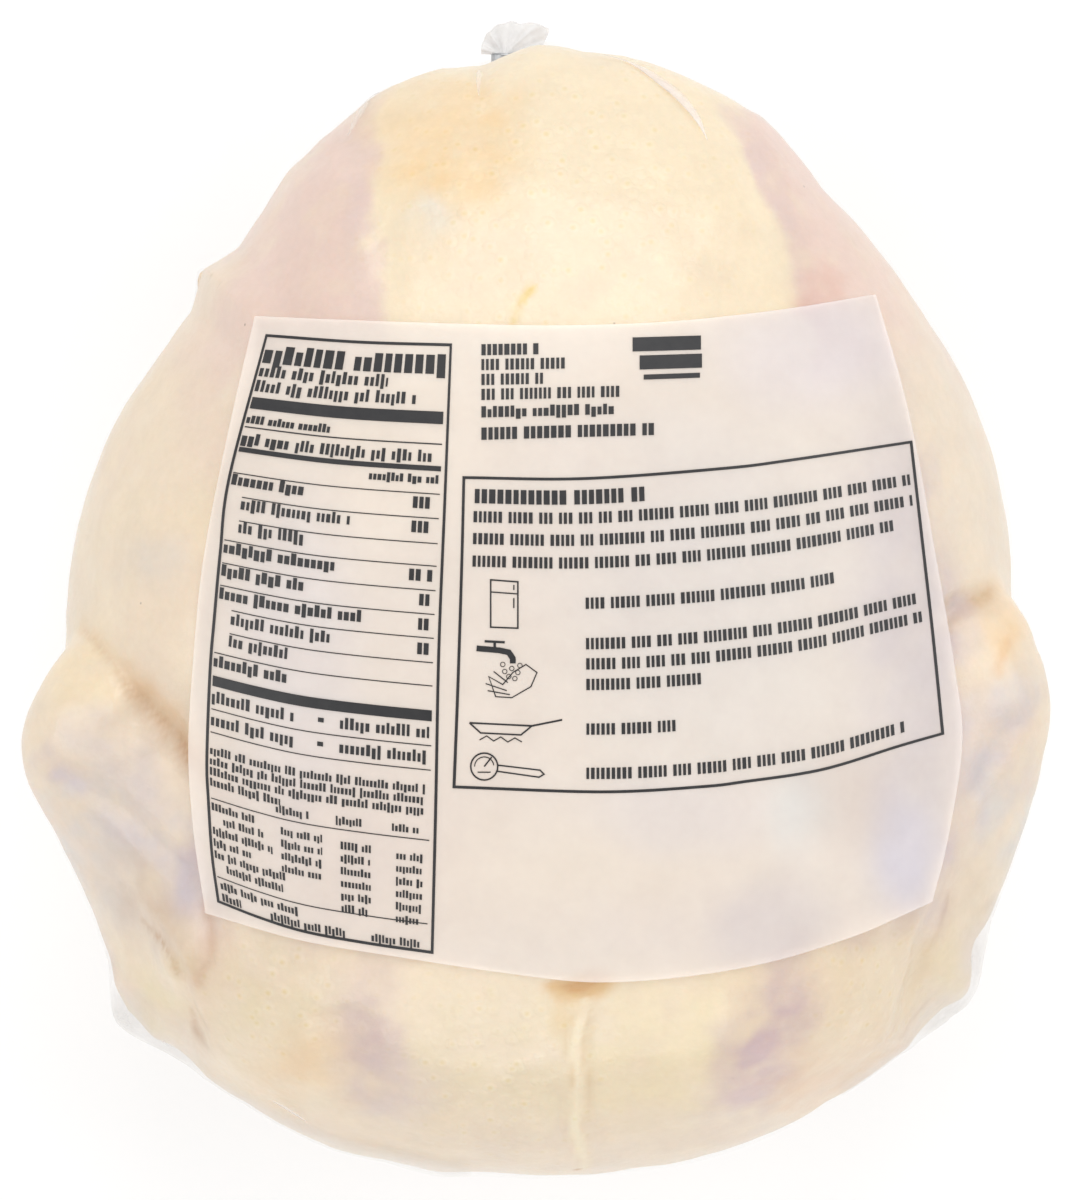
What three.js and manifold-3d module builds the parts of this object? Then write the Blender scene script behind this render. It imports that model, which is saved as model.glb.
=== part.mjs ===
// A whole raw chicken, shrink-wrapped in a clear bag that a crimped clip closes, with a back label.
// It lies on its breast with its back up. +Y runs from the neck end to the tail end, where the clip
// is, +X runs to the right seen from above, and +Z is up. All sizes are in millimetres.
import * as THREE from "three";
import { mergeVertices } from "three/addons/utils/BufferGeometryUtils.js";
import Module from "manifold-3d";

const wasm = await Module();
wasm.setup();

// Driving sizes of the trunk, the egg-shaped mass of breast and back under the film
const TRUNK = {
  halfWidth: 90,
  neckReach: 110.9, // from the widest place, over the origin, to the neck end
  tailReach: 105, // from the widest place to the tail end
  neckFullness: 2.58, // exponent of the blunt neck end
  tailFullness: 1.68, // exponent of the tapering tail end
  backFullness: 2.25, // exponent of the cross-section above the widest line
  breastFullness: 1.8, // and below it, where the breast narrows to its bone
  midHeight: 54, // height of the widest line above the table
  backHeight: 66, // from the widest line up to the back
  breastDepth: 52, // from the widest line down to the breastbone
  tailRise: 10, // how much higher the tail end of that line is
  tailShift: 4.4, // how far the tail half leans to the right
  shiftLength: 52, // the lean is complete this far from the widest place
};
// Radius of the fillet that skin and film draw where each mass meets the rest
const FILLET = {
  thigh: 7,
  wing: 4, // a wing lies against the body in a sharper crease
  corner: 7,
  tail: 5,
  gather: 6,
  breast: 12,
  blade: 14,
  drumstick: 6,
  elbow: 2,
  wrist: 4,
  knob: 3,
};

// The limbs: left is -X and right is +X, and the two sides of the bird aren't alike.
const SIDES = [
  {
    side: -1,
    elbow: [80.5, -27, 74],
    elbowRadius: 17,
    knob: [82, -20.5, 77],
    knobRadius: 12.5,
    shoulder: [66, -72, 60],
    shoulderRadius: 14.5,
    wrist: [60, -64, 86],
    wristRadius: 11,
    wingTip: [38, -50, 103],
    wingTipRadius: 9,
    knee: [59, -6, 31],
    hock: [57.5, 56, 30],
    bagCorner: [74, -75.5, 50],
  },
  {
    side: 1,
    elbow: [80.5, -18, 73],
    elbowRadius: 17,
    knob: [83.5, -11, 76],
    knobRadius: 12,
    shoulder: [69.5, -66, 60],
    shoulderRadius: 14.5,
    wrist: [62, -58, 86],
    wristRadius: 11,
    wingTip: [40, -46, 103],
    wingTipRadius: 9,
    knee: [61, -3, 31],
    hock: [50, 58, 29],
    bagCorner: [76, -74, 50],
  },
];
const FOREARM_RADIUS = 13; // where the forearm leaves the elbow
const KNEE_RADIUS = 22;
const HOCK_RADIUS = 8;
const CORNER_RADIUS = 7; // the loose fold of film at each lower corner of the bag
const THIGH = { centre: [46, 22, 57], radii: [36, 40, 37] };
const SHOULDER_BLADE = { centre: [36, -62, 84], radii: [24, 28, 22] };
const BREAST = { centre: [24, -22, 38], radii: [44, 72, 40.5] };
const TAIL_LOBES = [
  { centre: [6.5, 84.5, 73], radii: [27, 18.6, 15] },
  { centre: [-18.5, 81.5, 67], radii: [18.5, 17.2, 14] },
];

// The gathered mouth of the bag, its clip and the ruffle of film beyond the clip
const MOUTH = { x: -6, y: 90, z: 43, radius: 7 };
const GATHER = { start: [-6, 74, 52], startRadius: 21, end: [-6, 93, 43], endRadius: 5 };
const NECK = {
  radius: 1.3, // of the film drawn together under the clip
  taperShare: 0.6, // the share of its length over which it narrows to that
  taperPower: 1.5,
  overlap: 0.6, // how far it runs into the ruffle
  rings: 6,
  sides: 24,
};
const CLIP = {
  y: 102.4, // middle of its width
  width: 3.2,
  wall: 0.8,
  gap: 0.35, // to the film inside it
  ovality: 0.1, // how much wider than high the crimp leaves it
  bevel: 0.3,
  bevelSteps: 2,
  segments: 12,
};
const RUFFLE = {
  start: 104.4,
  end: 109.7,
  halfWidth: 7,
  halfHeight: 3.6,
  pleats: 8,
  pleatDepth: 0.22, // share of the radius
  sidesPerPleat: 6,
  rings: 5,
  opening: 1.15, // how much sooner than its end it is fully open
  lean: 2,
  curl: 0.06, // how far its sides fall back, per millimetre squared from its middle
};

// The label, as it looks from straight above: its corners and the middles of its sides
const LABEL = {
  topLeft: [-52.5, 53.4],
  topMiddle: [4, 51.8],
  topRight: [64, 57.6],
  leftMiddle: [-64.6, -3],
  rightMiddle: [78.6, 0],
  bottomLeft: [-63.1, -59.7],
  bottomMiddle: [3.5, -72.6],
  bottomRight: [75, -57.4],
  columns: 24,
  rows: 20,
  clearance: 0.7, // from the film to the underside
  thickness: 0.5,
  pulls: 40, // rounds of tightening that draw it across the hollows
  slopeStep: 1.5, // the film's slope is measured over this far either side
};

// How finely the solids are faceted
const BODY_DETAIL = 21; // each edge of an icosahedron is cut into one more piece than this
const CENTRE = new THREE.Vector3(0, -4, 55); // every surface point is seen from here
const FARTHEST = 150; // no surface point is farther from the centre
const HALVINGS = 34; // of that distance, when a surface point is looked for
const SAME_POINT = 1e-4; // points closer than this are one

const clamp01 = (value) => Math.min(1, Math.max(0, value));
const smoothStep = (value) => clamp01(value) ** 2 * (3 - 2 * clamp01(value));

// Union of two masses with a fillet of the given radius where they meet.
function blend(first, second, radius) {
  const share = clamp01(0.5 + (0.5 * (second - first)) / radius);
  return second + (first - second) * share - radius * share * (1 - share);
}

// Approximate distance from a point to an ellipsoid.
function ellipsoid(point, centre, radii) {
  const offset = point.clone().sub(centre);
  const near = offset.clone().divide(radii);
  const far = near.clone().divide(radii);
  return (near.length() * (near.length() - 1)) / Math.max(far.length(), 1e-9);
}

// Distance from a point to a limb: a capsule whose radius changes from one end to the other.
function limb(point, start, startRadius, end, endRadius) {
  const axis = end.clone().sub(start);
  const along = clamp01(point.clone().sub(start).dot(axis) / axis.lengthSq());
  const nearest = start.clone().addScaledVector(axis, along);
  return point.distanceTo(nearest) - THREE.MathUtils.lerp(startRadius, endRadius, along);
}

// The trunk: an egg with its own length and fullness towards each end.
function trunk(point) {
  const reach = point.y > 0 ? TRUNK.tailReach : TRUNK.neckReach;
  const fullness = point.y > 0 ? TRUNK.tailFullness : TRUNK.neckFullness;
  const lean = TRUNK.tailShift * smoothStep(point.y / TRUNK.shiftLength);
  const x = Math.abs(point.x - lean) / TRUNK.halfWidth;
  const z = point.z - TRUNK.midHeight - TRUNK.tailRise * smoothStep(point.y / TRUNK.tailReach);
  const depth = z > 0 ? TRUNK.backHeight : TRUNK.breastDepth;
  const sectionFullness = z > 0 ? TRUNK.backFullness : TRUNK.breastFullness;
  const section = x ** sectionFullness + (Math.abs(z) / depth) ** sectionFullness;
  const round = section ** (fullness / sectionFullness);
  const egg = (round + (Math.abs(point.y) / reach) ** fullness) ** (1 / fullness);
  return (egg - 1) * TRUNK.midHeight;
}

const mirrored = ([x, y, z], side) => new THREE.Vector3(side * x, y, z);
const vector = ([x, y, z]) => new THREE.Vector3(x, y, z);

// One side's wing, folded so that its elbow stands out and its tip lies on the back.
function wing(point, arm) {
  const elbow = mirrored(arm.elbow, arm.side);
  const shoulder = mirrored(arm.shoulder, arm.side);
  const wrist = mirrored(arm.wrist, arm.side);
  const tip = mirrored(arm.wingTip, arm.side);
  const upper = limb(point, shoulder, arm.shoulderRadius, elbow, arm.elbowRadius);
  const fore = limb(point, elbow, FOREARM_RADIUS, wrist, arm.wristRadius);
  const hand = limb(point, wrist, arm.wristRadius, tip, arm.wingTipRadius);
  const knob = point.distanceTo(mirrored(arm.knob, arm.side)) - arm.knobRadius;
  const arms = blend(blend(upper, fore, FILLET.elbow), hand, FILLET.wrist);
  return blend(arms, knob, FILLET.knob);
}

// One side's leg: the thigh, and the drumstick that lies along the breast.
function leg(point, arm) {
  const thigh = ellipsoid(point, mirrored(THIGH.centre, arm.side), vector(THIGH.radii));
  const knee = mirrored(arm.knee, arm.side);
  const hock = mirrored(arm.hock, arm.side);
  return blend(thigh, limb(point, knee, KNEE_RADIUS, hock, HOCK_RADIUS), FILLET.drumstick);
}

// Signed distance to the film round the whole bird, negative inside.
function bird(point) {
  let distance = trunk(point);
  const join = (other, fillet) => (distance = blend(distance, other, fillet));
  for (const { centre, radii } of TAIL_LOBES)
    join(ellipsoid(point, vector(centre), vector(radii)), FILLET.tail);
  const { start, startRadius, end, endRadius } = GATHER;
  join(limb(point, vector(start), startRadius, vector(end), endRadius), FILLET.gather);
  for (const arm of SIDES) {
    const breast = mirrored(BREAST.centre, arm.side);
    join(ellipsoid(point, breast, vector(BREAST.radii)), FILLET.breast);
    const blade = mirrored(SHOULDER_BLADE.centre, arm.side);
    join(ellipsoid(point, blade, vector(SHOULDER_BLADE.radii)), FILLET.blade);
    join(leg(point, arm), FILLET.thigh);
    join(wing(point, arm), FILLET.wing);
    join(point.distanceTo(mirrored(arm.bagCorner, arm.side)) - CORNER_RADIUS, FILLET.corner);
  }
  return distance;
}

// How far the film is from the centre in a direction, found by halving the interval.
function reachOf(direction) {
  let inside = 0;
  let outside = FARTHEST;
  for (let step = 0; step < HALVINGS; step++) {
    const middle = (inside + outside) / 2;
    if (bird(CENTRE.clone().addScaledVector(direction, middle)) < 0) inside = middle;
    else outside = middle;
  }
  return inside;
}

// A closed three.js geometry as a manifold-3d solid.
function solidOf(geometry) {
  const bare = geometry.index ? geometry.toNonIndexed() : geometry.clone();
  bare.deleteAttribute("normal");
  bare.deleteAttribute("uv");
  const merged = mergeVertices(bare, SAME_POINT);
  return new wasm.Manifold(
    new wasm.Mesh({
      numProp: 3,
      vertProperties: merged.attributes.position.array,
      triVerts: new Uint32Array(merged.index.array),
    }),
  );
}

// A manifold-3d solid as a three.js geometry.
function geometryOf(solid) {
  const mesh = solid.getMesh();
  return new THREE.BufferGeometry()
    .setAttribute("position", new THREE.BufferAttribute(new Float32Array(mesh.vertProperties), 3))
    .setIndex(new THREE.BufferAttribute(new Uint32Array(mesh.triVerts), 1))
    .toNonIndexed();
}

// The film's outer form round the bird, flattened where it rests on the table.
function bodySolid() {
  const ball = new THREE.IcosahedronGeometry(1, BODY_DETAIL);
  const points = ball.attributes.position;
  const direction = new THREE.Vector3();
  for (let i = 0; i < points.count; i++) {
    direction.fromBufferAttribute(points, i).normalize();
    const point = CENTRE.clone().addScaledVector(direction, reachOf(direction));
    points.setXYZ(i, point.x, point.y, point.z);
  }
  const room = new THREE.BoxGeometry(4 * FARTHEST, 4 * FARTHEST, 2 * FARTHEST);
  room.translate(0, 0, FARTHEST);
  return solidOf(ball).intersect(solidOf(room));
}

// A closed tube of rings, each a function of its share of the length, with flat ends.
function ringTube(rings, sides, pointAt) {
  const points = [];
  const faces = [];
  for (let ring = 0; ring <= rings; ring++)
    for (let i = 0; i < sides; i++)
      points.push(...pointAt(ring / rings, (2 * Math.PI * i) / sides));
  const middles = [0, 1].map((share) => {
    const loop = Array.from({ length: sides }, (_, i) => pointAt(share, (2 * Math.PI * i) / sides));
    return loop.reduce((sum, p) => sum.map((value, axis) => value + p[axis] / sides), [0, 0, 0]);
  });
  points.push(...middles.flat());
  const firstMiddle = (rings + 1) * sides;
  for (let i = 0; i < sides; i++) {
    const next = (i + 1) % sides;
    for (let ring = 0; ring < rings; ring++) {
      const [a, b] = [ring * sides + i, ring * sides + next];
      faces.push(a, b, b + sides, a, b + sides, a + sides);
    }
    faces.push(firstMiddle, next, i);
    faces.push(firstMiddle + 1, rings * sides + i, rings * sides + next);
  }
  return new THREE.BufferGeometry()
    .setAttribute("position", new THREE.Float32BufferAttribute(points, 3))
    .setIndex(faces);
}

// The narrow neck of film that runs from the gathered cone through the clip.
function neckGeometry() {
  return ringTube(NECK.rings, NECK.sides, (share, angle) => {
    const narrowing = (1 - clamp01(share / NECK.taperShare)) ** NECK.taperPower;
    const radius = THREE.MathUtils.lerp(NECK.radius, MOUTH.radius, narrowing);
    const y = THREE.MathUtils.lerp(MOUTH.y, RUFFLE.start + NECK.overlap, share);
    return [MOUTH.x + radius * Math.sin(angle), y, MOUTH.z + radius * Math.cos(angle)];
  });
}

// The pleated ruffle of spare film beyond the clip.
function ruffleGeometry() {
  return ringTube(RUFFLE.rings, RUFFLE.sidesPerPleat * RUFFLE.pleats, (share, angle) => {
    const open = smoothStep(share * RUFFLE.opening);
    const pleat = 1 + RUFFLE.pleatDepth * open * Math.cos(RUFFLE.pleats * angle);
    const x = THREE.MathUtils.lerp(NECK.radius, RUFFLE.halfWidth, open) * pleat * Math.sin(angle);
    const z = THREE.MathUtils.lerp(NECK.radius, RUFFLE.halfHeight, open) * pleat * Math.cos(angle);
    const y = THREE.MathUtils.lerp(RUFFLE.start, RUFFLE.end, share) - RUFFLE.curl * share * x * x;
    return [MOUTH.x + RUFFLE.lean * open + x, y, MOUTH.z + z];
  });
}

// The crimped clip: a flattened ring with round corners.
function clipGeometry() {
  const holeRadius = NECK.radius + CLIP.gap;
  const radius = holeRadius + CLIP.wall;
  const outline = new THREE.Shape().absellipse(0, 0, radius + CLIP.ovality, radius, 0, 2 * Math.PI);
  outline.holes.push(new THREE.Path().absarc(0, 0, holeRadius, 0, 2 * Math.PI, true));
  const ring = new THREE.ExtrudeGeometry(outline, {
    depth: CLIP.width - 2 * CLIP.bevel,
    curveSegments: CLIP.segments,
    bevelEnabled: true,
    bevelSegments: CLIP.bevelSteps,
    bevelSize: CLIP.bevel,
    bevelThickness: CLIP.bevel,
    bevelOffset: -CLIP.bevel,
  });
  ring.rotateX(Math.PI / 2);
  ring.translate(MOUTH.x, CLIP.y + CLIP.width / 2 - CLIP.bevel, MOUTH.z);
  return ring;
}

// A side of the label through its two ends and its middle.
function throughMiddle(start, middle, end, share) {
  const first = 2 * (share - 0.5) * (share - 1);
  const second = 4 * share * (1 - share);
  const third = 2 * share * (share - 0.5);
  return start.map((value, axis) => first * value + second * middle[axis] + third * end[axis]);
}

// Where the label has its point (u, v), seen from above: u runs left to right and v downwards.
function labelPlace(u, v) {
  const top = throughMiddle(LABEL.topLeft, LABEL.topMiddle, LABEL.topRight, u);
  const bottom = throughMiddle(LABEL.bottomLeft, LABEL.bottomMiddle, LABEL.bottomRight, u);
  const left = throughMiddle(LABEL.topLeft, LABEL.leftMiddle, LABEL.bottomLeft, v);
  const right = throughMiddle(LABEL.topRight, LABEL.rightMiddle, LABEL.bottomRight, v);
  return [0, 1].map((axis) => {
    const sides = (1 - u) * left[axis] + u * right[axis] + (1 - v) * top[axis] + v * bottom[axis];
    const corners =
      (1 - u) * (1 - v) * LABEL.topLeft[axis] +
      u * (1 - v) * LABEL.topRight[axis] +
      (1 - u) * v * LABEL.bottomLeft[axis] +
      u * v * LABEL.bottomRight[axis];
    return sides - corners;
  });
}

// Height of the film under a point of the label.
function filmHeight(x, y) {
  let inside = CENTRE.z;
  let outside = FARTHEST;
  for (let step = 0; step < HALVINGS; step++) {
    const middle = (inside + outside) / 2;
    if (bird(new THREE.Vector3(x, y, middle)) < 0) inside = middle;
    else outside = middle;
  }
  return inside;
}

// How much longer a step along the film is there than the same step seen from above.
function filmStretch(x, y) {
  const step = LABEL.slopeStep;
  const slopeX = (filmHeight(x + step, y) - filmHeight(x - step, y)) / (2 * step);
  const slopeY = (filmHeight(x, y + step) - filmHeight(x, y - step)) / (2 * step);
  return Math.hypot(1, slopeX, slopeY);
}

// Draws the label tight: no point lies lower than the middle of its neighbours, or than its floor.
function tighten(heights, floors) {
  const { columns, rows } = LABEL;
  const at = (row, column) => heights[row * (columns + 1) + column];
  return floors.map((floor, i) => {
    const row = Math.floor(i / (columns + 1));
    const column = i % (columns + 1);
    const means = [floor];
    if (row > 0 && row < rows) means.push((at(row - 1, column) + at(row + 1, column)) / 2);
    if (column > 0 && column < columns) means.push((at(row, column - 1) + at(row, column + 1)) / 2);
    return Math.max(...means);
  });
}

// The label: a thin stiff sheet that follows the film and bridges its hollows.
function labelGeometry() {
  const { columns, rows, clearance, thickness, pulls } = LABEL;
  const places = [];
  for (let row = 0; row <= rows; row++)
    for (let column = 0; column <= columns; column++)
      places.push(labelPlace(column / columns, row / rows));
  const stretches = places.map(([x, y]) => filmStretch(x, y));
  const floors = places.map(([x, y], i) => filmHeight(x, y) + clearance * stretches[i]);
  let heights = floors;
  for (let pull = 0; pull < pulls; pull++) heights = tighten(heights, floors);
  const under = places.flatMap(([x, y], i) => [x, y, heights[i]]);
  const over = places.flatMap(([x, y], i) => [x, y, heights[i] + thickness * stretches[i]]);
  const line = columns + 1;
  const count = line * (rows + 1);
  const faces = [];
  for (let row = 0; row < rows; row++)
    for (let column = 0; column < columns; column++) {
      const a = row * line + column;
      faces.push(a, a + 1, a + line + 1, a, a + line + 1, a + line);
      const b = a + count;
      faces.push(b, b + line + 1, b + 1, b, b + line, b + line + 1);
    }
  const rim = [];
  for (let column = 0; column < columns; column++) rim.push(column);
  for (let row = 0; row < rows; row++) rim.push(row * line + columns);
  for (let column = columns; column > 0; column--) rim.push(rows * line + column);
  for (let row = rows; row > 0; row--) rim.push(row * line);
  rim.forEach((a, i) => {
    const b = rim[(i + 1) % rim.length];
    faces.push(a, b + count, b, a, a + count, b + count);
  });
  return new THREE.BufferGeometry()
    .setAttribute("position", new THREE.Float32BufferAttribute([...under, ...over], 3))
    .setIndex(faces);
}

function namedMesh(name, geometry, colour, roughness, metalness) {
  const material = new THREE.MeshStandardMaterial({ color: colour, roughness, metalness });
  geometry.computeVertexNormals();
  const mesh = new THREE.Mesh(geometry, material);
  mesh.name = name;
  return mesh;
}

const bagSolid = bodySolid().add(solidOf(neckGeometry())).add(solidOf(ruffleGeometry()));

const root = new THREE.Group();
root.add(namedMesh("bag", geometryOf(bagSolid), "#f0dcc0", 0.35, 0));
root.add(namedMesh("clip", clipGeometry(), "#b4b8bd", 0.35, 1));
root.add(namedMesh("label", labelGeometry(), "#ebe3dd", 0.4, 0));

// The origin is under the middle of the part, on the table.
const box = new THREE.Box3().setFromObject(root);
const middle = box.getCenter(new THREE.Vector3());
root.position.set(-middle.x, -middle.y, -box.min.z);

export default root;
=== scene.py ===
# %% [markdown]
# # A whole raw chicken in a clear shrink bag
#
# The bird lies on its breast, so its back faces up. A tight film bag holds it, gathered and clipped
# at the tail end. A milky film label lies over the middle of the back, with print on it.
#
# The pieces made here: the bird, the film round it, the folds in the film with a painted glint
# among them, the gathered frill, the clip, the label and the ink on the label.

import math
import random

import bpy
import numpy as np
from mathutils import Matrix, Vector, noise
from mathutils.bvhtree import BVHTree


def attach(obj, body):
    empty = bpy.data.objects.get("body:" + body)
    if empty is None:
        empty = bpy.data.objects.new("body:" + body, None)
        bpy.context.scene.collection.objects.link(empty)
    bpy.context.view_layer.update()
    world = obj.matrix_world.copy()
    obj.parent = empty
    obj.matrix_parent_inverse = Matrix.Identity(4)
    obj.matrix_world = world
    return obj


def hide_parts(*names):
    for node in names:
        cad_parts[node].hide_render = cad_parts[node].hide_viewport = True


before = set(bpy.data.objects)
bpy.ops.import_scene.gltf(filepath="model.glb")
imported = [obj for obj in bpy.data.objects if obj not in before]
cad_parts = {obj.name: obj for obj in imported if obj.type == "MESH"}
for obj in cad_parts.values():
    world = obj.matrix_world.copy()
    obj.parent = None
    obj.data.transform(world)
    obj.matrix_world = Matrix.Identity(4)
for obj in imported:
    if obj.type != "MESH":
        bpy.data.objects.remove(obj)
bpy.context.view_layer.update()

# %% [markdown]
# Places on the bird's upper side are read off the picture, where one pixel is 0.19 mm at the
# bird. `spot` turns such a place into metres, with the middle of the bird at zero. Everything is
# then set on the surface below that place.

# %% Places on the back
MM = 0.001
PIXEL = 0.19 * MM
MIDDLE = (536.0, 601.2)


def spot(px, py):
    return np.array([(px - MIDDLE[0]) * PIXEL, (MIDDLE[1] - py) * PIXEL])


def spots(*places):
    return np.array([spot(*place) for place in places])


def add_object(name, data):
    made = bpy.data.objects.new(name, data)
    bpy.context.scene.collection.objects.link(made)
    return made


def only(piece):
    """Leaves this piece alone selected, so that an operator acts on nothing else."""
    bpy.ops.object.select_all(action="DESELECT")
    piece.select_set(True)
    bpy.context.view_layer.objects.active = piece


def apply_modifier(piece, kind, **settings):
    only(piece)
    modifier = piece.modifiers.new(kind.title(), kind)
    for name, value in settings.items():
        setattr(modifier, name, value)
    bpy.ops.object.modifier_apply(modifier=modifier.name)


def weld(piece, gap):
    """Joins points that lie in the same place."""
    only(piece)
    bpy.ops.object.mode_set(mode="EDIT")
    bpy.ops.mesh.select_all(action="SELECT")
    bpy.ops.mesh.remove_doubles(threshold=gap)
    bpy.ops.mesh.select_all(action="DESELECT")
    bpy.ops.object.mode_set(mode="OBJECT")


def face_outwards(piece):
    only(piece)
    bpy.ops.object.mode_set(mode="EDIT")
    bpy.ops.mesh.select_all(action="SELECT")
    bpy.ops.mesh.normals_make_consistent(inside=False)
    bpy.ops.object.mode_set(mode="OBJECT")


def add_grid(name, across, down):
    """A flat square grid, one metre wide, to be put in place point by point."""
    bpy.ops.object.select_all(action="DESELECT")
    bpy.ops.mesh.primitive_grid_add(x_subdivisions=across, y_subdivisions=down, size=1)
    made = bpy.context.object
    made.name = made.data.name = name
    return made


def corners(piece):
    """The piece's points as a table of x, y and z."""
    table = np.empty(len(piece.data.vertices) * 3, np.float32)
    piece.data.vertices.foreach_get("co", table)
    return table.reshape(-1, 3).astype(float)


def outward(piece):
    """The direction that the surface faces at each point."""
    table = np.empty(len(piece.data.vertices) * 3, np.float32)
    piece.data.vertex_normals.foreach_get("vector", table)
    return table.reshape(-1, 3).astype(float)


def put_corners(piece, table):
    piece.data.vertices.foreach_set("co", table.astype(np.float32).ravel())
    piece.data.update()


def give_values(piece, name, values):
    """Keeps one value for each point of the piece, for its material to read."""
    piece.data.attributes.new(name, "FLOAT", "POINT").data.foreach_set("value", values)


def give_colours(piece, name, colours):
    kept = piece.data.color_attributes.new(name, "FLOAT_COLOR", "POINT")
    opaque = np.ones((len(colours), 1))
    kept.data.foreach_set("color", np.hstack([np.clip(colours, 0, 1), opaque]).ravel())


def report(piece):
    faces = sum(len(p.vertices) - 2 for p in piece.data.polygons)
    size = corners(piece).max(0) - corners(piece).min(0)
    print(piece.name, faces, "triangles,", np.round(size / MM, 1), "mm")


# %% [markdown]
# The picture looks straight down at the back. A camera close by would make the label, which is
# nearest to it, too large against the outline below it. A long lens from 6.5 metres avoids that.

# %% Camera
VIEW_HEIGHT = 6.5
TRUE_HEIGHT = 0.075  # where the picture's scale is true, halfway between the label and the outline
FRAME_ROWS = 1200
FRAME_LENGTH = FRAME_ROWS * PIXEL
SENSOR = 36

camera_data = bpy.data.cameras.new("camera")
camera_data.sensor_width = SENSOR
camera_data.lens = SENSOR * VIEW_HEIGHT / FRAME_LENGTH
camera_data.clip_start = 0.1
camera_data.clip_end = 30
camera = add_object("camera", camera_data)
camera.location = (0, (MIDDLE[1] - FRAME_ROWS / 2) * PIXEL, VIEW_HEIGHT + TRUE_HEIGHT)
bpy.context.scene.camera = camera
print("lens", round(camera_data.lens), "mm")

# %% [markdown]
# The picture is taken in a white tent on a light table: light comes from all round and from below,
# so the floor is pure white and only creases are darker. A bright sky and a faintly glowing floor
# give that, and four wide lamps round the bird give its sides some shape. The lamp at the tail end
# is the strongest. `SKY` is how bright the tent lights the bird, and `WALL` is how it looks itself.

# %% Floor, sky and lamps
SKY = 0.60
WALL = 0.84
FLOOR_SIZE = 11.0
FLOOR_DROP = 0.0003
LAMP_SIZE = 1.4
LAMPS = [
    ("lamp_tail", (0.1, 1.5, 1.5), 17.5),
    ("lamp_neck", (0.0, -1.6, 1.2), 14),
    ("lamp_left", (-1.6, 0.1, 1.2), 11),
    ("lamp_right", (1.6, 0.3, 1.2), 13),
]

bpy.ops.object.select_all(action="DESELECT")
bpy.ops.mesh.primitive_plane_add(size=FLOOR_SIZE, location=(0, 0, -FLOOR_DROP))
floor = bpy.context.object
floor.name = "floor"
floor_paper = bpy.data.materials.new("floor_paper")
floor_paper.use_nodes = True
paper = floor_paper.node_tree.nodes["Principled BSDF"]
paper.inputs["Base Color"].default_value = (0.42, 0.42, 0.42, 1)
paper.inputs["Roughness"].default_value = 0.9
paper.inputs["Specular IOR Level"].default_value = 0.1
paper.inputs["Emission Color"].default_value = (1, 1, 1, 1)
paper.inputs["Emission Strength"].default_value = 0.56
floor.data.materials.append(floor_paper)

world = bpy.data.worlds.new("tent")
bpy.context.scene.world = world
world.use_nodes = True
sky = world.node_tree.nodes["Background"]
sky.inputs["Color"].default_value = (1, 1, 1, 1)
# The tent's wall looks as pale as the far floor, but it lights the bird less than that.
seen = world.node_tree.nodes.new("ShaderNodeLightPath")
strength = world.node_tree.nodes.new("ShaderNodeMath")
strength.operation = "MULTIPLY_ADD"
world.node_tree.links.new(seen.outputs["Is Camera Ray"], strength.inputs[0])
strength.inputs[1].default_value = WALL - SKY
strength.inputs[2].default_value = SKY
world.node_tree.links.new(strength.outputs[0], sky.inputs["Strength"])

for name, place, watts in LAMPS:
    lamp_data = bpy.data.lights.new(name, "AREA")
    lamp_data.shape = "SQUARE"
    lamp_data.size = LAMP_SIZE
    lamp_data.energy = watts
    lamp = add_object(name, lamp_data)
    lamp.location = place
    lamp.rotation_euler = (-Vector(place)).to_track_quat("-Z", "Y").to_euler()

bpy.context.scene.view_settings.view_transform = "Standard"
print(len(LAMPS), "lamps and a sky of", SKY)

# %% [markdown]
# The solid model already has the bird's outline, its wings, legs and tail, in flat facets. A copy
# of it is the blank for both the bird and the film. The gathered neck of the bag comes off, and
# the blank is remeshed finely and smoothed until the facets are gone.

# %% The blank
NECK_PLACE = (-6 * MM, 94.2 * MM, 52 * MM)
NECK_REACH = 11 * MM
WELD = 0.01 * MM
SMOOTHING = 26  # rounds at a grain of 1 mm
HOCK = [
    # (place, radius) of small lumps, in millimetres
    ((-57.0, 57.5, 33.0), 4.6), ((-60.2, 59.0, 34.0), 4.0), ((-62.4, 59.6, 34.5), 3.4),
]


def add_lump(piece, place, radius):
    """Joins a small round lump to the piece."""
    bpy.ops.object.select_all(action="DESELECT")
    bpy.ops.mesh.primitive_uv_sphere_add(segments=24, ring_count=16, radius=radius * MM,
                                         location=Vector(place) * MM)
    lump = bpy.context.object
    bpy.ops.object.transform_apply(location=True)
    lump.select_set(True)
    piece.select_set(True)
    bpy.context.view_layer.objects.active = piece
    bpy.ops.object.join()


def remesh_and_smooth(piece, grain, rounds):
    apply_modifier(piece, "REMESH", mode="VOXEL", voxel_size=grain, use_smooth_shade=True)
    apply_modifier(piece, "SMOOTH", factor=0.5, iterations=rounds)


def blank(name, grain):
    piece = add_object(name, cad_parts["bag"].data.copy())
    piece.data.name = name
    piece.data.materials.clear()
    weld(piece, WELD)
    for point in piece.data.vertices:
        x, y, z = point.co
        beside = abs(x - NECK_PLACE[0]) < NECK_REACH
        point.select = beside and y > NECK_PLACE[1] and z < NECK_PLACE[2]
    bpy.ops.object.mode_set(mode="EDIT")
    bpy.ops.mesh.select_mode(type="VERT")
    bpy.ops.mesh.delete(type="VERT")
    bpy.ops.mesh.select_non_manifold()
    bpy.ops.mesh.fill()
    bpy.ops.mesh.select_all(action="DESELECT")
    bpy.ops.object.mode_set(mode="OBJECT")
    remesh_and_smooth(piece, grain, round(SMOOTHING * (MM / grain) ** 2))
    for place, radius in HOCK:
        add_lump(piece, place, radius)
    remesh_and_smooth(piece, grain, 3)
    return piece


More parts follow.
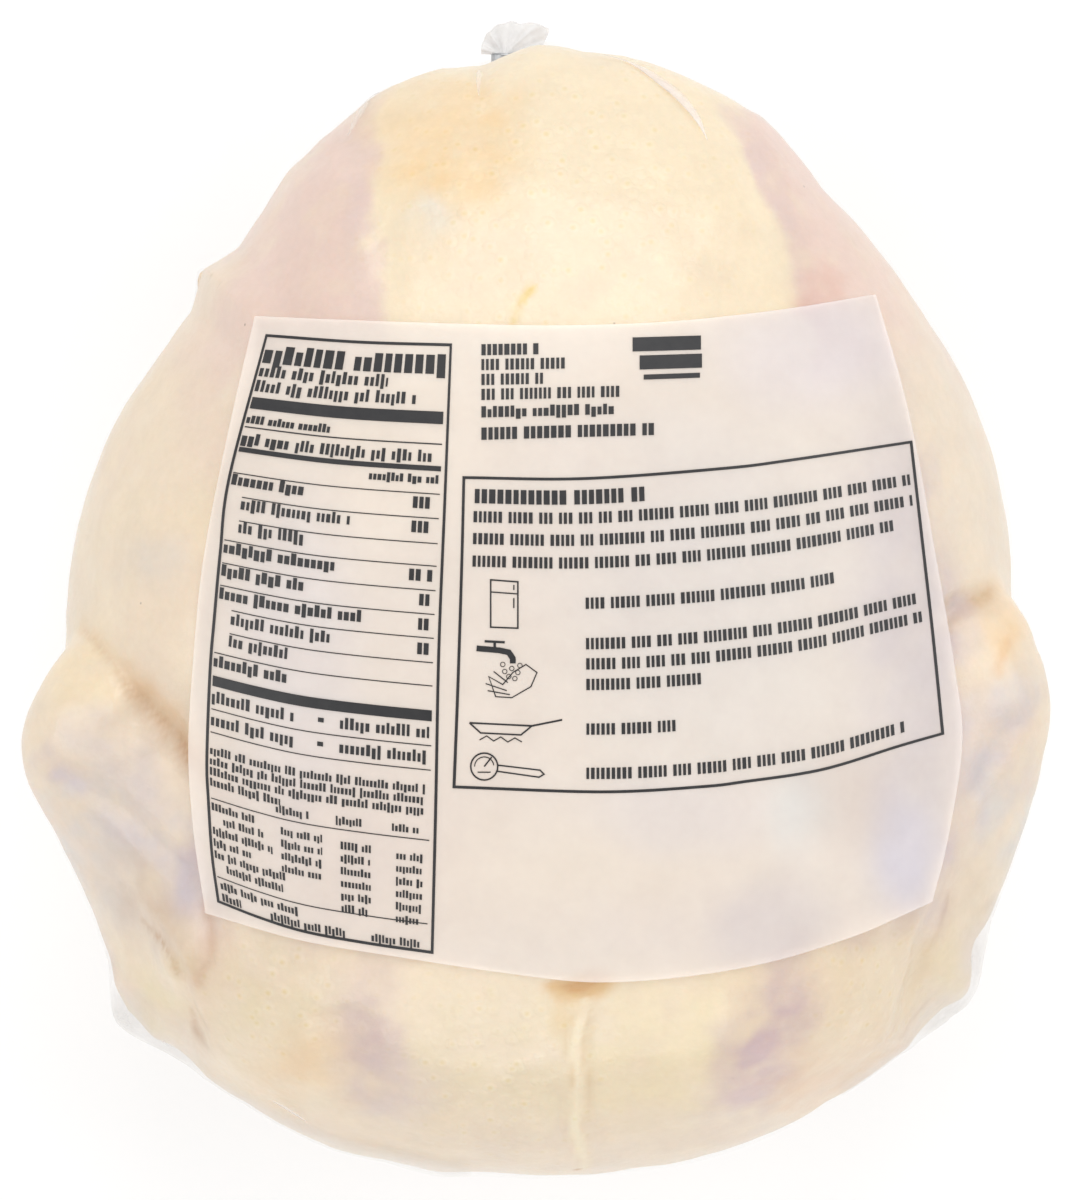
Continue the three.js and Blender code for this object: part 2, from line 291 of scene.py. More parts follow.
bird = blank("bird", 1.22 * MM)
film = blank("film", 1.6 * MM)
report(bird)

# %% [markdown]
# Remeshing and smoothing draw the corners in and leave the flat parts full. So the outline is read
# off the picture every five degrees round the middle, and the sides of both pieces are moved out
# or in by what was missing there. The middle of the back stays where it is.

# %% Drawing the sides out to the outline
OUTLINE_STEP = 5
OUTLINE_CHANGE = [
    # millimetres outwards, from the right side round by the tail, the left side and the neck
    1.2, 1.5, 1.7, 1.4, 0.7, -0.1, -0.5, -0.7, -0.5, -0.4, -0.4, -0.1,
    1.3, 2.6, 2.0, 1.1, 0.2, -0.1, 1.5, -0.1, 0.8, 0.7, 1.1, 3.1,
    3.1, 0.9, -0.2, 1.7, -2.4, -3.1, -2.8, -1.5, -0.6, 0.0, 0.4, -0.2,
    -0.2, 0.5, 0.3, 1.3, 1.5, 0.3, -0.5, -1.1, -1.1, 1.1, 0.4, 0.7,
    -0.4, -0.6, -0.4, -1.0, 0.1, -0.6, -0.2, -0.5, -0.8, -0.6, -0.7, -0.7,
    -0.6, 0.8, 2.4, -0.1, 2.0, 1.0, 2.0, 2.5, 2.7, 2.2, 1.1, -0.2,
]
SIDES_FROM = 0.5  # how far out from the middle the change begins, as a share
SIDES_FULL = 0.95


def smooth(share):
    share = np.clip(share, 0, 1)
    return share * share * (3 - 2 * share)


def fit_outline(piece):
    table = corners(piece)
    away = np.linalg.norm(table[:, :2], axis=1)
    turn = np.degrees(np.arctan2(table[:, 1], table[:, 0])) % 360
    sector = (turn // OUTLINE_STEP).astype(int)
    farthest = np.zeros(len(OUTLINE_CHANGE))
    np.maximum.at(farthest, sector, away)
    marks = np.arange(len(OUTLINE_CHANGE)) * OUTLINE_STEP
    change = np.interp(turn, marks, OUTLINE_CHANGE, period=360) * MM
    weight = smooth((away / farthest[sector] - SIDES_FROM) / (SIDES_FULL - SIDES_FROM))
    table[:, :2] *= (1 + change * weight / away)[:, None]
    put_corners(piece, table)


fit_outline(bird)
fit_outline(film)
print("outline drawn out by up to", max(OUTLINE_CHANGE), "mm")

# %% [markdown]
# Flesh is softer than its outline. A wing pressed on the flank leaves a deep crease, and there
# are shallow grooves along the folded wings, beside the thighs and between the tail and the
# gather. `press` lowers the surface along a path, most in the middle and not at all past its
# half width.

# %% Pressing creases
def nearness(table, path, half_width):
    """1 on the path and 0 past its half width, smooth between, and how far along it is, 0 to 1."""
    best = np.full(len(table), 1e9)
    along = np.zeros(len(table))
    lengths = np.linalg.norm(np.diff(path, axis=0), axis=1)
    starts = np.concatenate([[0], np.cumsum(lengths)])
    for i, length in enumerate(lengths):
        step = (path[i + 1] - path[i]) / max(length, 1e-9)
        run = np.clip((table[:, :2] - path[i]) @ step, 0, length)
        gap = np.linalg.norm(table[:, :2] - path[i] - run[:, None] * step, axis=1)
        nearer = gap < best
        best = np.where(nearer, gap, best)
        along = np.where(nearer, (starts[i] + run) / starts[-1], along)
    share = np.clip(best / half_width, 0, 1)
    return (1 - share * share) ** 2, along


def curved(path, steps=8):
    """The path rounded through its own points."""
    ends = np.vstack([2 * path[0] - path[1], path, 2 * path[-1] - path[-2]])
    made = []
    for i in range(1, len(ends) - 2):
        a, b, c, d = ends[i - 1 : i + 3]
        for k in range(steps):
            t = k / steps
            made.append(
                0.5 * (2 * b + (c - a) * t + (2 * a - 5 * b + 4 * c - d) * t**2)
                + 0.5 * (3 * b - a - 3 * c + d) * t**3
            )
    made.append(path[-1])
    return np.array(made)


def press(piece, path, half_width, depth, lowest=30, ends=0.15):
    """Presses a groove into the upper side, in millimetres. A negative depth raises a ridge."""
    table = corners(piece)
    facing = outward(piece)
    weight, along = nearness(table, curved(path), half_width * MM)
    fade = np.clip(np.minimum(along, 1 - along) / ends, 0.15, 1)
    upper = np.clip((table[:, 2] - lowest * MM) / (6 * MM), 0, 1)
    upper = upper * np.clip(facing[:, 2] * 4 + 1, 0, 1)
    amount = weight * fade * upper * depth * MM
    put_corners(piece, table - facing * amount[:, None])


def sink(piece, depth):
    table = corners(piece)
    put_corners(piece, table - outward(piece) * depth * MM)


CREASES = [
    # (places, half width, depth, lowest point that it reaches), in millimetres
    (spots((84, 662), (100, 690), (118, 724)), 7.0, -0.9, 30),
    (spots((66, 637), (84, 637), (100, 648), (119, 672), (133, 700), (163, 735), (212, 790)),
     3.6, 1.3, 30),
    (spots((128, 684), (152, 714), (184, 746), (222, 800)), 9.5, 1.9, 40),
    (spots((1003, 590), (975, 596), (952, 610), (932, 645), (926, 720)), 2.8, 1.8, 30),
    (spots((932, 620), (920, 660), (916, 720)), 7.0, 1.6, 40),
    (spots((150, 735), (180, 780), (212, 840)), 9.0, 1.4, 40),
    (spots((40, 762), (110, 802), (160, 848), (215, 890)), 3.4, 1.1, 30),
    (spots((1030, 705), (1000, 745), (975, 790), (950, 830)), 3.4, 1.0, 30),
    (spots((144, 915), (156, 934), (178, 968), (187, 1010), (204, 1052)), 2.0, 0.9, 25),
    (spots((205, 905), (212, 950), (200, 985)), 3.0, 0.8, 25),
    (spots((944, 895), (925, 945), (914, 990), (893, 1050)), 2.2, 0.9, 25),
    (spots((905, 905), (890, 960), (860, 1050)), 4.0, 0.7, 25),
    (spots((384, 90), (379, 200), (390, 310)), 5.0, 0.6, 40),
    (spots((735, 95), (762, 180), (802, 305)), 5.0, 0.7, 40),
    (spots((484, 58), (480, 78), (479, 98)), 2.2, 0.6, 40),
    (spots((340, 1000), (350, 1060), (370, 1110)), 9.0, 1.2, 40),
    (spots((790, 985), (780, 1040), (760, 1090)), 9.0, 1.2, 40),
]
for places, half_width, depth, lowest in CREASES:
    press(bird, places, half_width, depth, lowest)

SEAM = spots((583, 1000), (579, 1031), (578, 1068), (574, 1104), (580, 1141), (584, 1165))
for aside, half_width, depth in [(0, 3.2, -0.8), (-2.6, 1.8, 0.45), (2.6, 1.8, 0.35)]:
    press(bird, SEAM + [aside * MM, 0], half_width, depth, 30, 0.05)
print(len(CREASES), "creases pressed into the bird")

# %% [markdown]
# At the two corners of the bag the film stands off the bird and holds only air. There the bird is
# pulled back from the outline, and everywhere else it lies half a millimetre under the film. Skin
# is never quite even, so a slow, a quick and a fine unevenness go over it last.

# %% Corners, thickness and unevenness
CORNERS = [
    # (place, reach, how far the bird is pulled back), in millimetres
    (spot(122, 1020), 8.0, 2.8),
    (spot(165, 1056), 11.0, 1.1),
    (spot(984, 962), 9.0, 2.5),
    (spot(950, 1022), 11.0, 2.0),
]


def pull_back(piece, middle, reach, depth):
    table = corners(piece)
    gap = np.linalg.norm(table[:, :2] - middle, axis=1)
    weight = (1 - np.clip(gap / (reach * MM), 0, 1) ** 2) ** 2
    inward = -table[:, :2] / np.linalg.norm(table[:, :2], axis=1)[:, None]
    table[:, :2] += inward * (weight * depth * MM)[:, None]
    put_corners(piece, table)


def bumps(table, size, seed):
    """A smooth random value at each point, in clouds of this size in millimetres."""
    shift = Vector((seed * 3.1, seed * 1.7, seed * 2.3))
    return np.array([noise.noise(Vector(p) / (size * MM) + shift) for p in table])


def roughen(piece, size, depth, seed):
    table = corners(piece)
    lift = bumps(table, size, seed)
    put_corners(piece, table + outward(piece) * (lift * depth * MM)[:, None])


for middle, reach, depth in CORNERS:
    pull_back(bird, middle, reach, depth)
sink(bird, 0.55)
for seed, (size, depth) in enumerate([(26, 0.6), (9, 0.3), (3.4, 0.1)], 1):
    roughen(bird, size, depth, seed)
apply_modifier(bird, "SMOOTH", factor=0.5, iterations=3)
report(bird)

# %% [markdown]
# Raw skin has many colours: cream over the fat, yellow along the back, pink and lilac where the
# meat shows through. The brown and orange in the wing creases are painted shade, a slightly darker
# patch on the middle of the back is painted shade too, and the pale tops of the elbows are painted
# highlight. They are painted as a colour for each point of the mesh, like glazes on a model: soft
# round dabs and strokes over a cream ground. The tones are written as they look in the light of the
# picture, and `pigment` takes the light off.

# %% Painting the skin
LIGHT = 1.30


def linear(tone):
    share = np.array(tone, float) / 255
    return np.where(share < 0.04045, share / 12.92, ((share + 0.055) / 1.055) ** 2.4)


def pigment(tone):
    return linear(tone) / LIGHT


CREAM = (246, 227, 201)
YELLOW = (254, 236, 204)
PINK = (241, 213, 199)
RED = (235, 188, 170)
AMBER = (253, 221, 172)
PALE = (248, 236, 216)
LILAC = (214, 196, 200)
VIOLET = (211, 201, 207)
ORANGE = (238, 190, 138)
CREASE_SHADE = (190, 140, 92)
WHITE_FAT = (250, 238, 214)
BLUISH = (222, 214, 214)
PLUM = (221, 197, 189)

table = corners(bird)
facing = outward(bird)
skin = np.tile(pigment(CREAM), (len(table), 1))
upper = np.clip(facing[:, 2] * 3 + 0.8, 0, 1)


def clouds(size, seed):
    """The same from -1 to 1, with more contrast, at each point of the bird."""
    return np.clip(bumps(table, size, seed) * 1.4, -1, 1)


# Colour in flesh has ragged edges, so the places painted are shifted a little, each point its own.
ragged = np.stack([clouds(13, 11) * 2.6 + clouds(4.5, 12) * 1.3,
                   clouds(13, 13) * 2.6 + clouds(4.5, 14) * 1.3], axis=1) * MM
painted_at = table[:, :2] + ragged
patchy = np.clip(0.9 + clouds(6.5, 15) * 0.55 + clouds(2.8, 16) * 0.3, 0.15, 1.3)


def glaze(tone, weight):
    skin[:] = skin + (pigment(tone) - skin) * np.clip(weight, 0, 1)[:, None]


def oval(points, place, wide, long, turn=0):
    """1 in the middle of an oval and 0 past its soft edge, sizes in pixels of the picture."""
    a = math.radians(turn)
    away = (points - spot(*place)) / PIXEL
    u = (away[:, 0] * math.cos(a) + away[:, 1] * math.sin(a)) / wide
    v = (-away[:, 0] * math.sin(a) + away[:, 1] * math.cos(a)) / long
    return smooth(1.25 - np.sqrt(u * u + v * v) * 0.85)


def dab(tone, place, wide, long, strength, turn=0):
    """A soft oval of colour."""
    glaze(tone, oval(painted_at, place, wide, long, turn) * strength * upper * patchy)


def right_of(border, feather, points=painted_at):
    """1 to the right of a border that runs down the picture, 0 to its left."""
    border = curved(spots(*border))[::-1]
    edge_x = np.interp(points[:, 1], border[:, 1], border[:, 0])
    return smooth((points[:, 0] - edge_x) / (feather * PIXEL) + 0.5)


def line(tone, places, width, strength, beyond=None):
    """A soft stroke of colour along places, its half width in pixels, or only right of a border."""
    steadier = table[:, :2] + ragged * 0.45
    weight, _ = nearness(steadier, curved(spots(*places)), width * PIXEL)
    if beyond:
        weight = weight * right_of(beyond, 24, table[:, :2] + ragged * 0.15)
    glaze(tone, weight * strength * upper * patchy)


below = np.clip(0.55 - table[:, 2] / (60 * MM), 0, 1)
glaze((240, 216, 192), below * 0.7)
glaze((246, 222, 186), np.clip(clouds(30, 4), 0, 1) * 0.5)
glaze((238, 212, 196), np.clip(clouds(24, 5) - 0.1, 0, 1) * 0.5)
glaze(WHITE_FAT, np.clip(clouds(11, 6), 0, 1) * 0.35)
glaze((236, 214, 190), np.clip(clouds(5, 7), 0, 1) * 0.3)
flanks = np.clip(0.4 - facing[:, 2], 0, 0.6) / 0.6
glaze((238, 200, 184), np.clip(clouds(22, 21) + 0.05, 0, 0.8) * 0.75 * flanks)
glaze((250, 226, 178), np.clip(clouds(17, 22), 0, 0.8) * 0.8 * flanks)
glaze((222, 200, 200), np.clip(clouds(13, 23) - 0.1, 0, 0.8) * 0.6 * flanks)

# The back between the thighs, and the thighs.
BACK_LEFT = [(405, 40), (386, 90), (379, 160), (378, 230), (388, 320), (360, 600)]
BACK_RIGHT = [(690, 40), (728, 90), (752, 160), (778, 230), (806, 320), (800, 600)]
OUTER_LEFT = [(330, 40), (300, 120), (262, 200), (215, 290), (170, 380), (150, 600)]
OUTER_RIGHT = [(780, 40), (822, 120), (860, 200), (905, 300), (940, 380), (950, 600)]
tail_part = smooth((painted_at[:, 1] - spot(0, 430)[1]) / (120 * PIXEL)) * upper
back = right_of(BACK_LEFT, 16) * (1 - right_of(BACK_RIGHT, 20))
glaze(YELLOW, back * tail_part)
thigh_left = right_of(OUTER_LEFT, 90) * (1 - right_of(BACK_LEFT, 14))
thigh_right = right_of(BACK_RIGHT, 16) * (1 - right_of(OUTER_RIGHT, 90))
away_from_tip = smooth((spot(0, 70)[1] - painted_at[:, 1]) / (70 * PIXEL))
for thigh in (thigh_left, thigh_right):
    glaze(PINK, thigh * tail_part * away_from_tip * np.clip(patchy + 0.2, 0, 1.1) * 0.95)
line(LILAC, [(366, 150), (362, 210), (370, 300)], 26, 0.22)
line(LILAC, [(758, 150), (780, 205), (808, 300)], 24, 0.2)
dab(RED, (815, 292), 26, 26, 0.5)
# Painted shade: a slightly darker patch on the middle of the back, where the tail lamp lights it
# strongly.
dab((250, 230, 201), (570, 262), 180, 62, 0.85)
dab(AMBER, (452, 148), 76, 66, 0.9)
dab((252, 228, 190), (420, 110), 60, 40, 0.4)
dab(PALE, (430, 215), 26, 24, 0.8)
line((244, 216, 146), [(530, 288), (522, 305), (515, 328)], 6, 0.9)
dab((247, 228, 198), (140, 470), 80, 190, 0.6, -14)
dab((241, 225, 204), (955, 450), 60, 160, 0.7, 14)
dab(PINK, (225, 400), 60, 90, 0.35)
dab(BLUISH, (150, 560), 40, 30, 0.3)

# The folded wings.
# Painted highlight: the tops of both elbows are painted pale cream, as if lit from above.
dab((252, 231, 196), (84, 676), 48, 54, 0.95)
dab((252, 226, 191), (1000, 618), 38, 38, 0.95)
dab((228, 211, 200), (112, 745), 56, 34, 0.7, -30)
dab((220, 206, 202), (150, 800), 90, 30, 0.6, -42)
dab((210, 192, 194), (184, 880), 34, 30, 0.7, -40)
dab((228, 219, 211), (90, 850), 50, 90, 0.8, 15)
dab((238, 210, 188), (62, 770), 24, 16, 0.5, -30)
dab((220, 200, 184), (150, 900), 30, 80, 0.6, 25)
dab(LILAC, (200, 905), 24, 50, 0.55, 20)
dab((240, 210, 186), (216, 960), 30, 60, 0.6, 10)
dab(BLUISH, (1000, 700), 50, 26, 0.6, 20)
dab(LILAC, (1000, 770), 46, 60, 0.45, 25)
dab((230, 221, 211), (1010, 830), 36, 80, 0.8, 20)
dab((232, 214, 190), (975, 900), 30, 80, 0.5, 20)
line(ORANGE, [(1006, 640), (1003, 655), (998, 672)], 11, 0.85)
dab((246, 214, 170), (1008, 640), 22, 30, 0.6)
dab((232, 208, 178), (930, 900), 30, 70, 0.5, -20)
WING_EDGE = [(72, 634), (86, 637), (101, 648), (119, 672), (133, 700), (163, 735), (212, 790)]
# Painted highlight along the left elbow's edge beside its crease.
dab((253, 233, 199), (106, 690), 26, 30, 0.7, -35)
# Painted shade: orange-brown strokes on the flank side of the left wing's crease, darkest down the
# valley below it.
line((240, 212, 176), WING_EDGE[:5], 22, 0.55, WING_EDGE)
line((228, 190, 148), WING_EDGE[1:5], 9, 0.65, WING_EDGE)
line((233, 197, 153), [(128, 680), (150, 708), (178, 738), (214, 784)], 36, 0.75, WING_EDGE)
line((198, 152, 108), WING_EDGE[4:], 24, 0.95, WING_EDGE)
# Painted shade: orange-brown strokes along the right wing's crease and the valley beside it.
line((234, 206, 172), [(990, 596), (962, 604), (944, 622)], 24, 0.85)
line((222, 188, 148), [(986, 594), (956, 608), (936, 634)], 10, 0.75)
line((236, 208, 176), [(926, 640), (924, 690), (932, 740)], 22, 0.5)
line(VIOLET, [(47, 761), (86, 792), (113, 817), (141, 839), (165, 863), (196, 896)], 24, 0.5)
line((214, 202, 214), [(60, 776), (82, 786)], 12, 0.3)
line(VIOLET, [(1030, 702), (1000, 745), (978, 785)], 20, 0.45)
line(VIOLET, [(985, 800), (975, 850)], 12, 0.3)
# Painted shade: thin brown lines in the narrow folds where the left wing tip tucks in.
line(CREASE_SHADE, [(144, 917), (155, 933), (166, 955), (179, 972)], 4, 0.45)
line(CREASE_SHADE, [(186, 1010), (192, 1030), (201, 1046)], 5, 0.6)
dab((240, 224, 186), (160, 1000), 26, 44, 0.6, -20)
# Painted shade: darker strokes along the grooves by the left wing tip.
line((222, 190, 150), [(146, 885), (185, 960), (215, 1040)], 26, 0.35)
line((216, 178, 150), [(205, 905), (212, 950), (200, 985)], 10, 0.5)
# Painted shade in the right wing tip's folds and along its groove.
line(CREASE_SHADE, [(946, 895), (934, 925), (926, 955)], 5, 0.5)
line(CREASE_SHADE, [(926, 1000), (912, 1018), (903, 1034)], 5, 0.55)
dab((240, 222, 182), (942, 962), 20, 40, 0.6, 15)
line((224, 196, 160), [(935, 900), (905, 1010)], 26, 0.35)

# The neck end.
dab((240, 222, 190), (480, 1060), 180, 100, 0.9)
dab((245, 227, 190), (680, 1050), 110, 90, 0.85)
dab(PLUM, (372, 1034), 46, 76, 0.9, 8)
dab((215, 188, 188), (766, 1030), 42, 80, 1.0, -19)
dab((224, 200, 196), (740, 1100), 60, 30, 0.5, 40)
dab((226, 208, 202), (404, 1090), 40, 44, 0.5, 14)
dab((240, 222, 188), (272, 1006), 60, 80, 0.8, 20)
dab((242, 222, 190), (872, 990), 60, 84, 0.8, -20)
dab((243, 214, 176), (300, 1062), 56, 40, 0.7, 30)
dab((238, 204, 172), (808, 1085), 36, 36, 0.6)
dab((238, 210, 184), (870, 1060), 50, 40, 0.4)
dab((238, 219, 198), (590, 1150), 270, 40, 0.6)
dab((226, 184, 122), (578, 990), 27, 15, 1.3)
dab((216, 166, 98), (584, 985), 18, 8, 1.3)
dab((240, 214, 168), (566, 1015), 10, 26, 0.7)
line((226, 196, 148), [(571, 1035), (570, 1060), (569, 1082)], 5, 0.7)
line((228, 196, 152), [(587, 1015), (586, 1050), (585, 1082), (589, 1110)], 3.5, 0.5)
SEAM_PLACES = [(583, 1004), (579, 1031), (578, 1068), (574, 1104), (580, 1141), (584, 1160)]
line((236, 206, 164), SEAM_PLACES, 17, 0.4)
line((249, 234, 203), SEAM_PLACES, 10, 1.1)
dab((208, 150, 90), (594, 987), 5, 4, 1.0)
dab((206, 158, 100), (578, 1166), 5, 4, 1.0)

# What lies under the label.
dab(LILAC, (900, 640), 60, 230, 0.9, 6)
dab((206, 196, 214), (900, 855), 44, 64, 0.8)
dab((200, 170, 178), (700, 920), 200, 40, 0.35)
dab((206, 180, 182), (330, 830), 100, 120, 0.5)
dab((214, 190, 186), (640, 560), 160, 120, 0.4)
dab((246, 238, 224), (798, 818), 38, 46, 0.8, -25)
dab(AMBER, (560, 380), 200, 40, 0.4)

give_colours(bird, "skin_tone_and_painted_light", skin)
print("painted", len(skin), "points of skin")

# %% [markdown]
# Skin under tight film is a soft, damp surface: light goes a little way in, so it has no hard
# shadows, and it shines where the film lies on it. Fat under the back skin shows as pale, slightly
# raised dots about 3 mm apart where the feathers grew. The mottling is a node group, because the
# label and the film use it too, each at its own scale.

# %% A mottling for every finish
mottling = bpy.data.node_groups.new("mottling", "ShaderNodeTree")
for name, value in [("Size mm", 8.0), ("Contrast", 1.0)]:
    socket = mottling.interface.new_socket(name=name, in_out="INPUT", socket_type="NodeSocketFloat")
    socket.default_value = value
mottling.interface.new_socket(name="Mask", in_out="OUTPUT", socket_type="NodeSocketFloat")


def feed(tree, node, links):
    """Links each socket of the node to its source, or sets it to a constant."""
    for socket, source in links:
        if isinstance(source, bpy.types.NodeSocket):
            tree.links.new(source, node.inputs[socket])
        else:
            node.inputs[socket].default_value = source


def wire(tree, kind, links=(), **values):
    """Adds a node with these properties, and feeds its sockets."""
    node = tree.nodes.new(kind)
    for name, value in values.items():
        setattr(node, name, value)
    feed(tree, node, links)
    return node


def math_node(tree, operation, a, b, clamp=False):
    """The result of a sum or product of two values."""
    node = wire(tree, "ShaderNodeMath", [(0, a), (1, b)], operation=operation, use_clamp=clamp)
    return node.outputs[0]


ends_in = mottling.nodes.new("NodeGroupInput")
ends_out = mottling.nodes.new("NodeGroupOutput")
place = wire(mottling, "ShaderNodeTexCoord")
scale = math_node(mottling, "DIVIDE", 1000.0, ends_in.outputs["Size mm"])
cloud = wire(mottling, "ShaderNodeTexNoise",
             [("Vector", place.outputs["Object"]), ("Scale", scale),
              ("Detail", 3.0), ("Roughness", 0.55)])
centred = math_node(mottling, "SUBTRACT", cloud.outputs["Fac"], 0.5)
spread = math_node(mottling, "MULTIPLY", centred, ends_in.outputs["Contrast"])
mask = math_node(mottling, "ADD", spread, 0.5, True)
mottling.links.new(mask, ends_out.inputs["Mask"])


def mottle(tree, size, contrast):
    node = wire(tree, "ShaderNodeGroup", node_tree=mottling)
    feed(tree, node, [("Size mm", size), ("Contrast", contrast)])
    return node.outputs["Mask"]


def mix(tree, share, a, b, blend="MIX"):
    node = wire(tree, "ShaderNodeMix", data_type="RGBA", blend_type=blend)
    feed(tree, node, [(0, share), (6, a), (7, b)])
    return node.outputs[2]


def span(tree, value, low, high, new_low, new_high):
    """Turns a value from one range into another, held at both ends."""
    node = wire(tree, "ShaderNodeMapRange", [("Value", value), ("From Min", low),
                ("From Max", high), ("To Min", new_low), ("To Max", new_high)])
    return node.outputs["Result"]


def bump(tree, strength, distance, height):
    """A normal from this relief, its distance in metres."""
    node = wire(tree, "ShaderNodeBump",
                [("Strength", strength), ("Distance", distance), ("Height", height)])
    return node.outputs["Normal"]


def attribute(tree, name, output="Fac"):
    return wire(tree, "ShaderNodeAttribute", attribute_name=name).outputs[output]


def finish(name):
    material = bpy.data.materials.new(name)
    material.use_nodes = True
    return material, material.node_tree, material.node_tree.nodes["Principled BSDF"]


# %% Skin
raw_skin, tree, shader = finish("raw_skin")
tone = attribute(tree, "skin_tone_and_painted_light", "Color")
light_spots = mix(tree, mottle(tree, 9.0, 2.2), (0.965, 0.955, 0.95, 1), (1.03, 1.03, 1.03, 1))
fine_spots = mix(tree, mottle(tree, 1.6, 2.0), (0.975, 0.97, 0.96, 1), (1.02, 1.02, 1.02, 1))
mottled = mix(tree, 1.0, tone, light_spots, "MULTIPLY")
mottled = mix(tree, 1.0, mottled, fine_spots, "MULTIPLY")


def scattered(tree, scale, randomness):
    """How far each place is from the nearest of many scattered points."""
    place = wire(tree, "ShaderNodeTexCoord")
    node = wire(tree, "ShaderNodeTexVoronoi", [("Vector", place.outputs["Object"]),
                ("Scale", scale), ("Randomness", randomness)])
    return node.outputs["Distance"]


follicles = scattered(tree, 330.0, 0.8)
pored = attribute(tree, "pored")
dots = span(tree, follicles, 0.06, 0.25, 1.0, 0.0)
dots = math_node(tree, "MULTIPLY", dots, pored)
dotted = mix(tree, 1.0, mottled, (0.96, 0.93, 0.76, 1), "MULTIPLY")
rimmed = mix(tree, 1.0, mottled, (1.025, 1.03, 1.035, 1), "MULTIPLY")
rims = span(tree, follicles, 0.25, 0.5, 1.0, 0.0)
rims = math_node(tree, "MULTIPLY", rims, pored)
mottled = mix(tree, rims, mottled, rimmed)
shown = mix(tree, dots, mottled, dotted)

specks = span(tree, scattered(tree, 55.0, 1.0), 0.012, 0.02, 0.55, 0.0)
shown = mix(tree, specks, shown, (0.16, 0.12, 0.09, 1))
relief = math_node(tree, "ADD", rims, mottle(tree, 1.2, 1.0))
feed(tree, shader, [
    ("Base Color", shown),
    ("Normal", bump(tree, 0.35, 0.00035, relief)),
    ("Roughness", span(tree, mottle(tree, 4.0, 1.5), 0, 1, 0.36, 0.5)),
    ("Subsurface Weight", 0.25),
    ("Subsurface Radius", (1.0, 0.55, 0.35)),
    ("Subsurface Scale", 0.003),
    ("Coat Weight", 0.35),
    ("Coat Roughness", 0.16),
])

# Where the pores show: middles and reaches in pixels of the picture.
PORED = [((560, 200), 190), ((275, 1000), 85), ((878, 990), 80), ((500, 1070), 120)]
pored = np.zeros(len(table))
for place, reach in PORED:
    gap = np.linalg.norm(table[:, :2] - spot(*place), axis=1) / (reach * PIXEL)
    pored = np.maximum(pored, np.clip(1.4 - gap, 0, 1))
give_values(bird, "pored", pored)
bird.data.materials.append(raw_skin)
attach(bird, "root")
print("skin finish has", len(tree.nodes), "nodes")

# %% [markdown]
# The film follows the bird, but it is stretched: it bridges the creases in straight lines, gathers
# in pleats towards the clip, and stands off at two corners of the bag. So it is made from the same
# blank, without the creases, and pleated round the gather. Clear film is seen only where it is
# folded, gathered or full of air. A `haze` value at each point says how milky it is there.

# %% Film
GATHER = np.array([-6 * MM, 94.2 * MM, 43 * MM])
PLEATS = 13
PLEAT_HEIGHT = 0.5
PLEAT_REACH = 40
CLEAR = 0.035
PLEAT_HAZE = 0.3
POCKET_HAZE = 0.34


def pleat(piece):
    table = corners(piece)
    away = table - GATHER
    reach = np.linalg.norm(away, axis=1)
    turn = np.arctan2(away[:, 2], away[:, 0])
    wave = np.sin(turn * PLEATS + 2 * np.sin(turn * 3)) + 0.5 * np.sin(turn * 21 + 1)
    near = np.clip(1 - reach / (PLEAT_REACH * MM), 0, 1) ** 1.5
    near = near * np.clip(reach / (6 * MM), 0, 1)
    put_corners(piece, table + outward(piece) * (wave * near * PLEAT_HEIGHT * MM)[:, None])
    return near * np.clip(wave, 0, 1)


gathered = pleat(film)
roughen(film, 30, 0.2, 5)
film_table = corners(film)
haze = CLEAR + gathered * PLEAT_HAZE


def cloud_over(path, half_width, amount):
    """Makes the film milky along a path on its upper side."""
    weight, _ = nearness(film_table, curved(path), half_width * MM)
    upper = np.clip(outward(film)[:, 2] * 3 + 1.0, 0, 1)
    haze[:] = np.maximum(haze, weight * upper * amount)


for middle, reach, _ in CORNERS:
    gap = np.linalg.norm(film_table[:, :2] - middle, axis=1)
    weight = np.clip(1.3 - gap / (reach * MM * 0.75), 0, 1)
    haze = np.maximum(haze, weight * POCKET_HAZE)
HAZY = [
    # (places, half width in millimetres, how milky)
    (((384, 84), (364, 104), (346, 134)), 2.6, 0.16),
    (((107, 960), (110, 1008), (160, 1052), (235, 1096), (330, 1142), (460, 1174)), 2.6, 0.3),
    (((996, 905), (989, 950), (972, 990), (944, 1025), (900, 1056), (850, 1090)), 2.8, 0.3),
    (((986, 930), (970, 978), (938, 1014), (896, 1046)), 6.0, 0.17),
]
for places, half_width, amount in HAZY:
    cloud_over(spots(*places), half_width, amount)
give_values(film, "haze", haze)

clear_film, tree, shader = finish("clear_film")
uneven = span(tree, mottle(tree, 5.0, 1.6), 0, 1, 0.7, 1.3)
feed(tree, shader, [
    ("Alpha", math_node(tree, "MULTIPLY", attribute(tree, "haze"), uneven, True)),
    ("Base Color",
     mix(tree, mottle(tree, 12.0, 1.5), (0.66, 0.65, 0.63, 1), (0.76, 0.75, 0.74, 1))),
    ("Roughness", 0.14),
    ("Normal", bump(tree, 0.25, 0.0005, mottle(tree, 3.0, 1.0))),
])
film.data.materials.append(clear_film)
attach(film, "root")
film.visible_shadow = False
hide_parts("bag")
report(film)

# %% [markdown]
# Both pieces were made on their own, so here and there the skin could come through the film. Each
# point of the bird that lies too close to the film, or past it, is tucked back under it.

# %% Tucking the bird in
UNDER_FILM = 0.25 * MM

film_surface = BVHTree.FromObject(film, bpy.context.evaluated_depsgraph_get())
tucked = 0
table = corners(bird)
for i, point in enumerate(table):
    nearest, normal, _, _ = film_surface.find_nearest(Vector(point))
    if (Vector(point) - nearest).dot(normal) > -UNDER_FILM:
        table[i] = nearest - normal * UNDER_FILM
        tucked += 1
put_corners(bird, table)
print(tucked, "of", len(table), "points of skin tucked under the film")
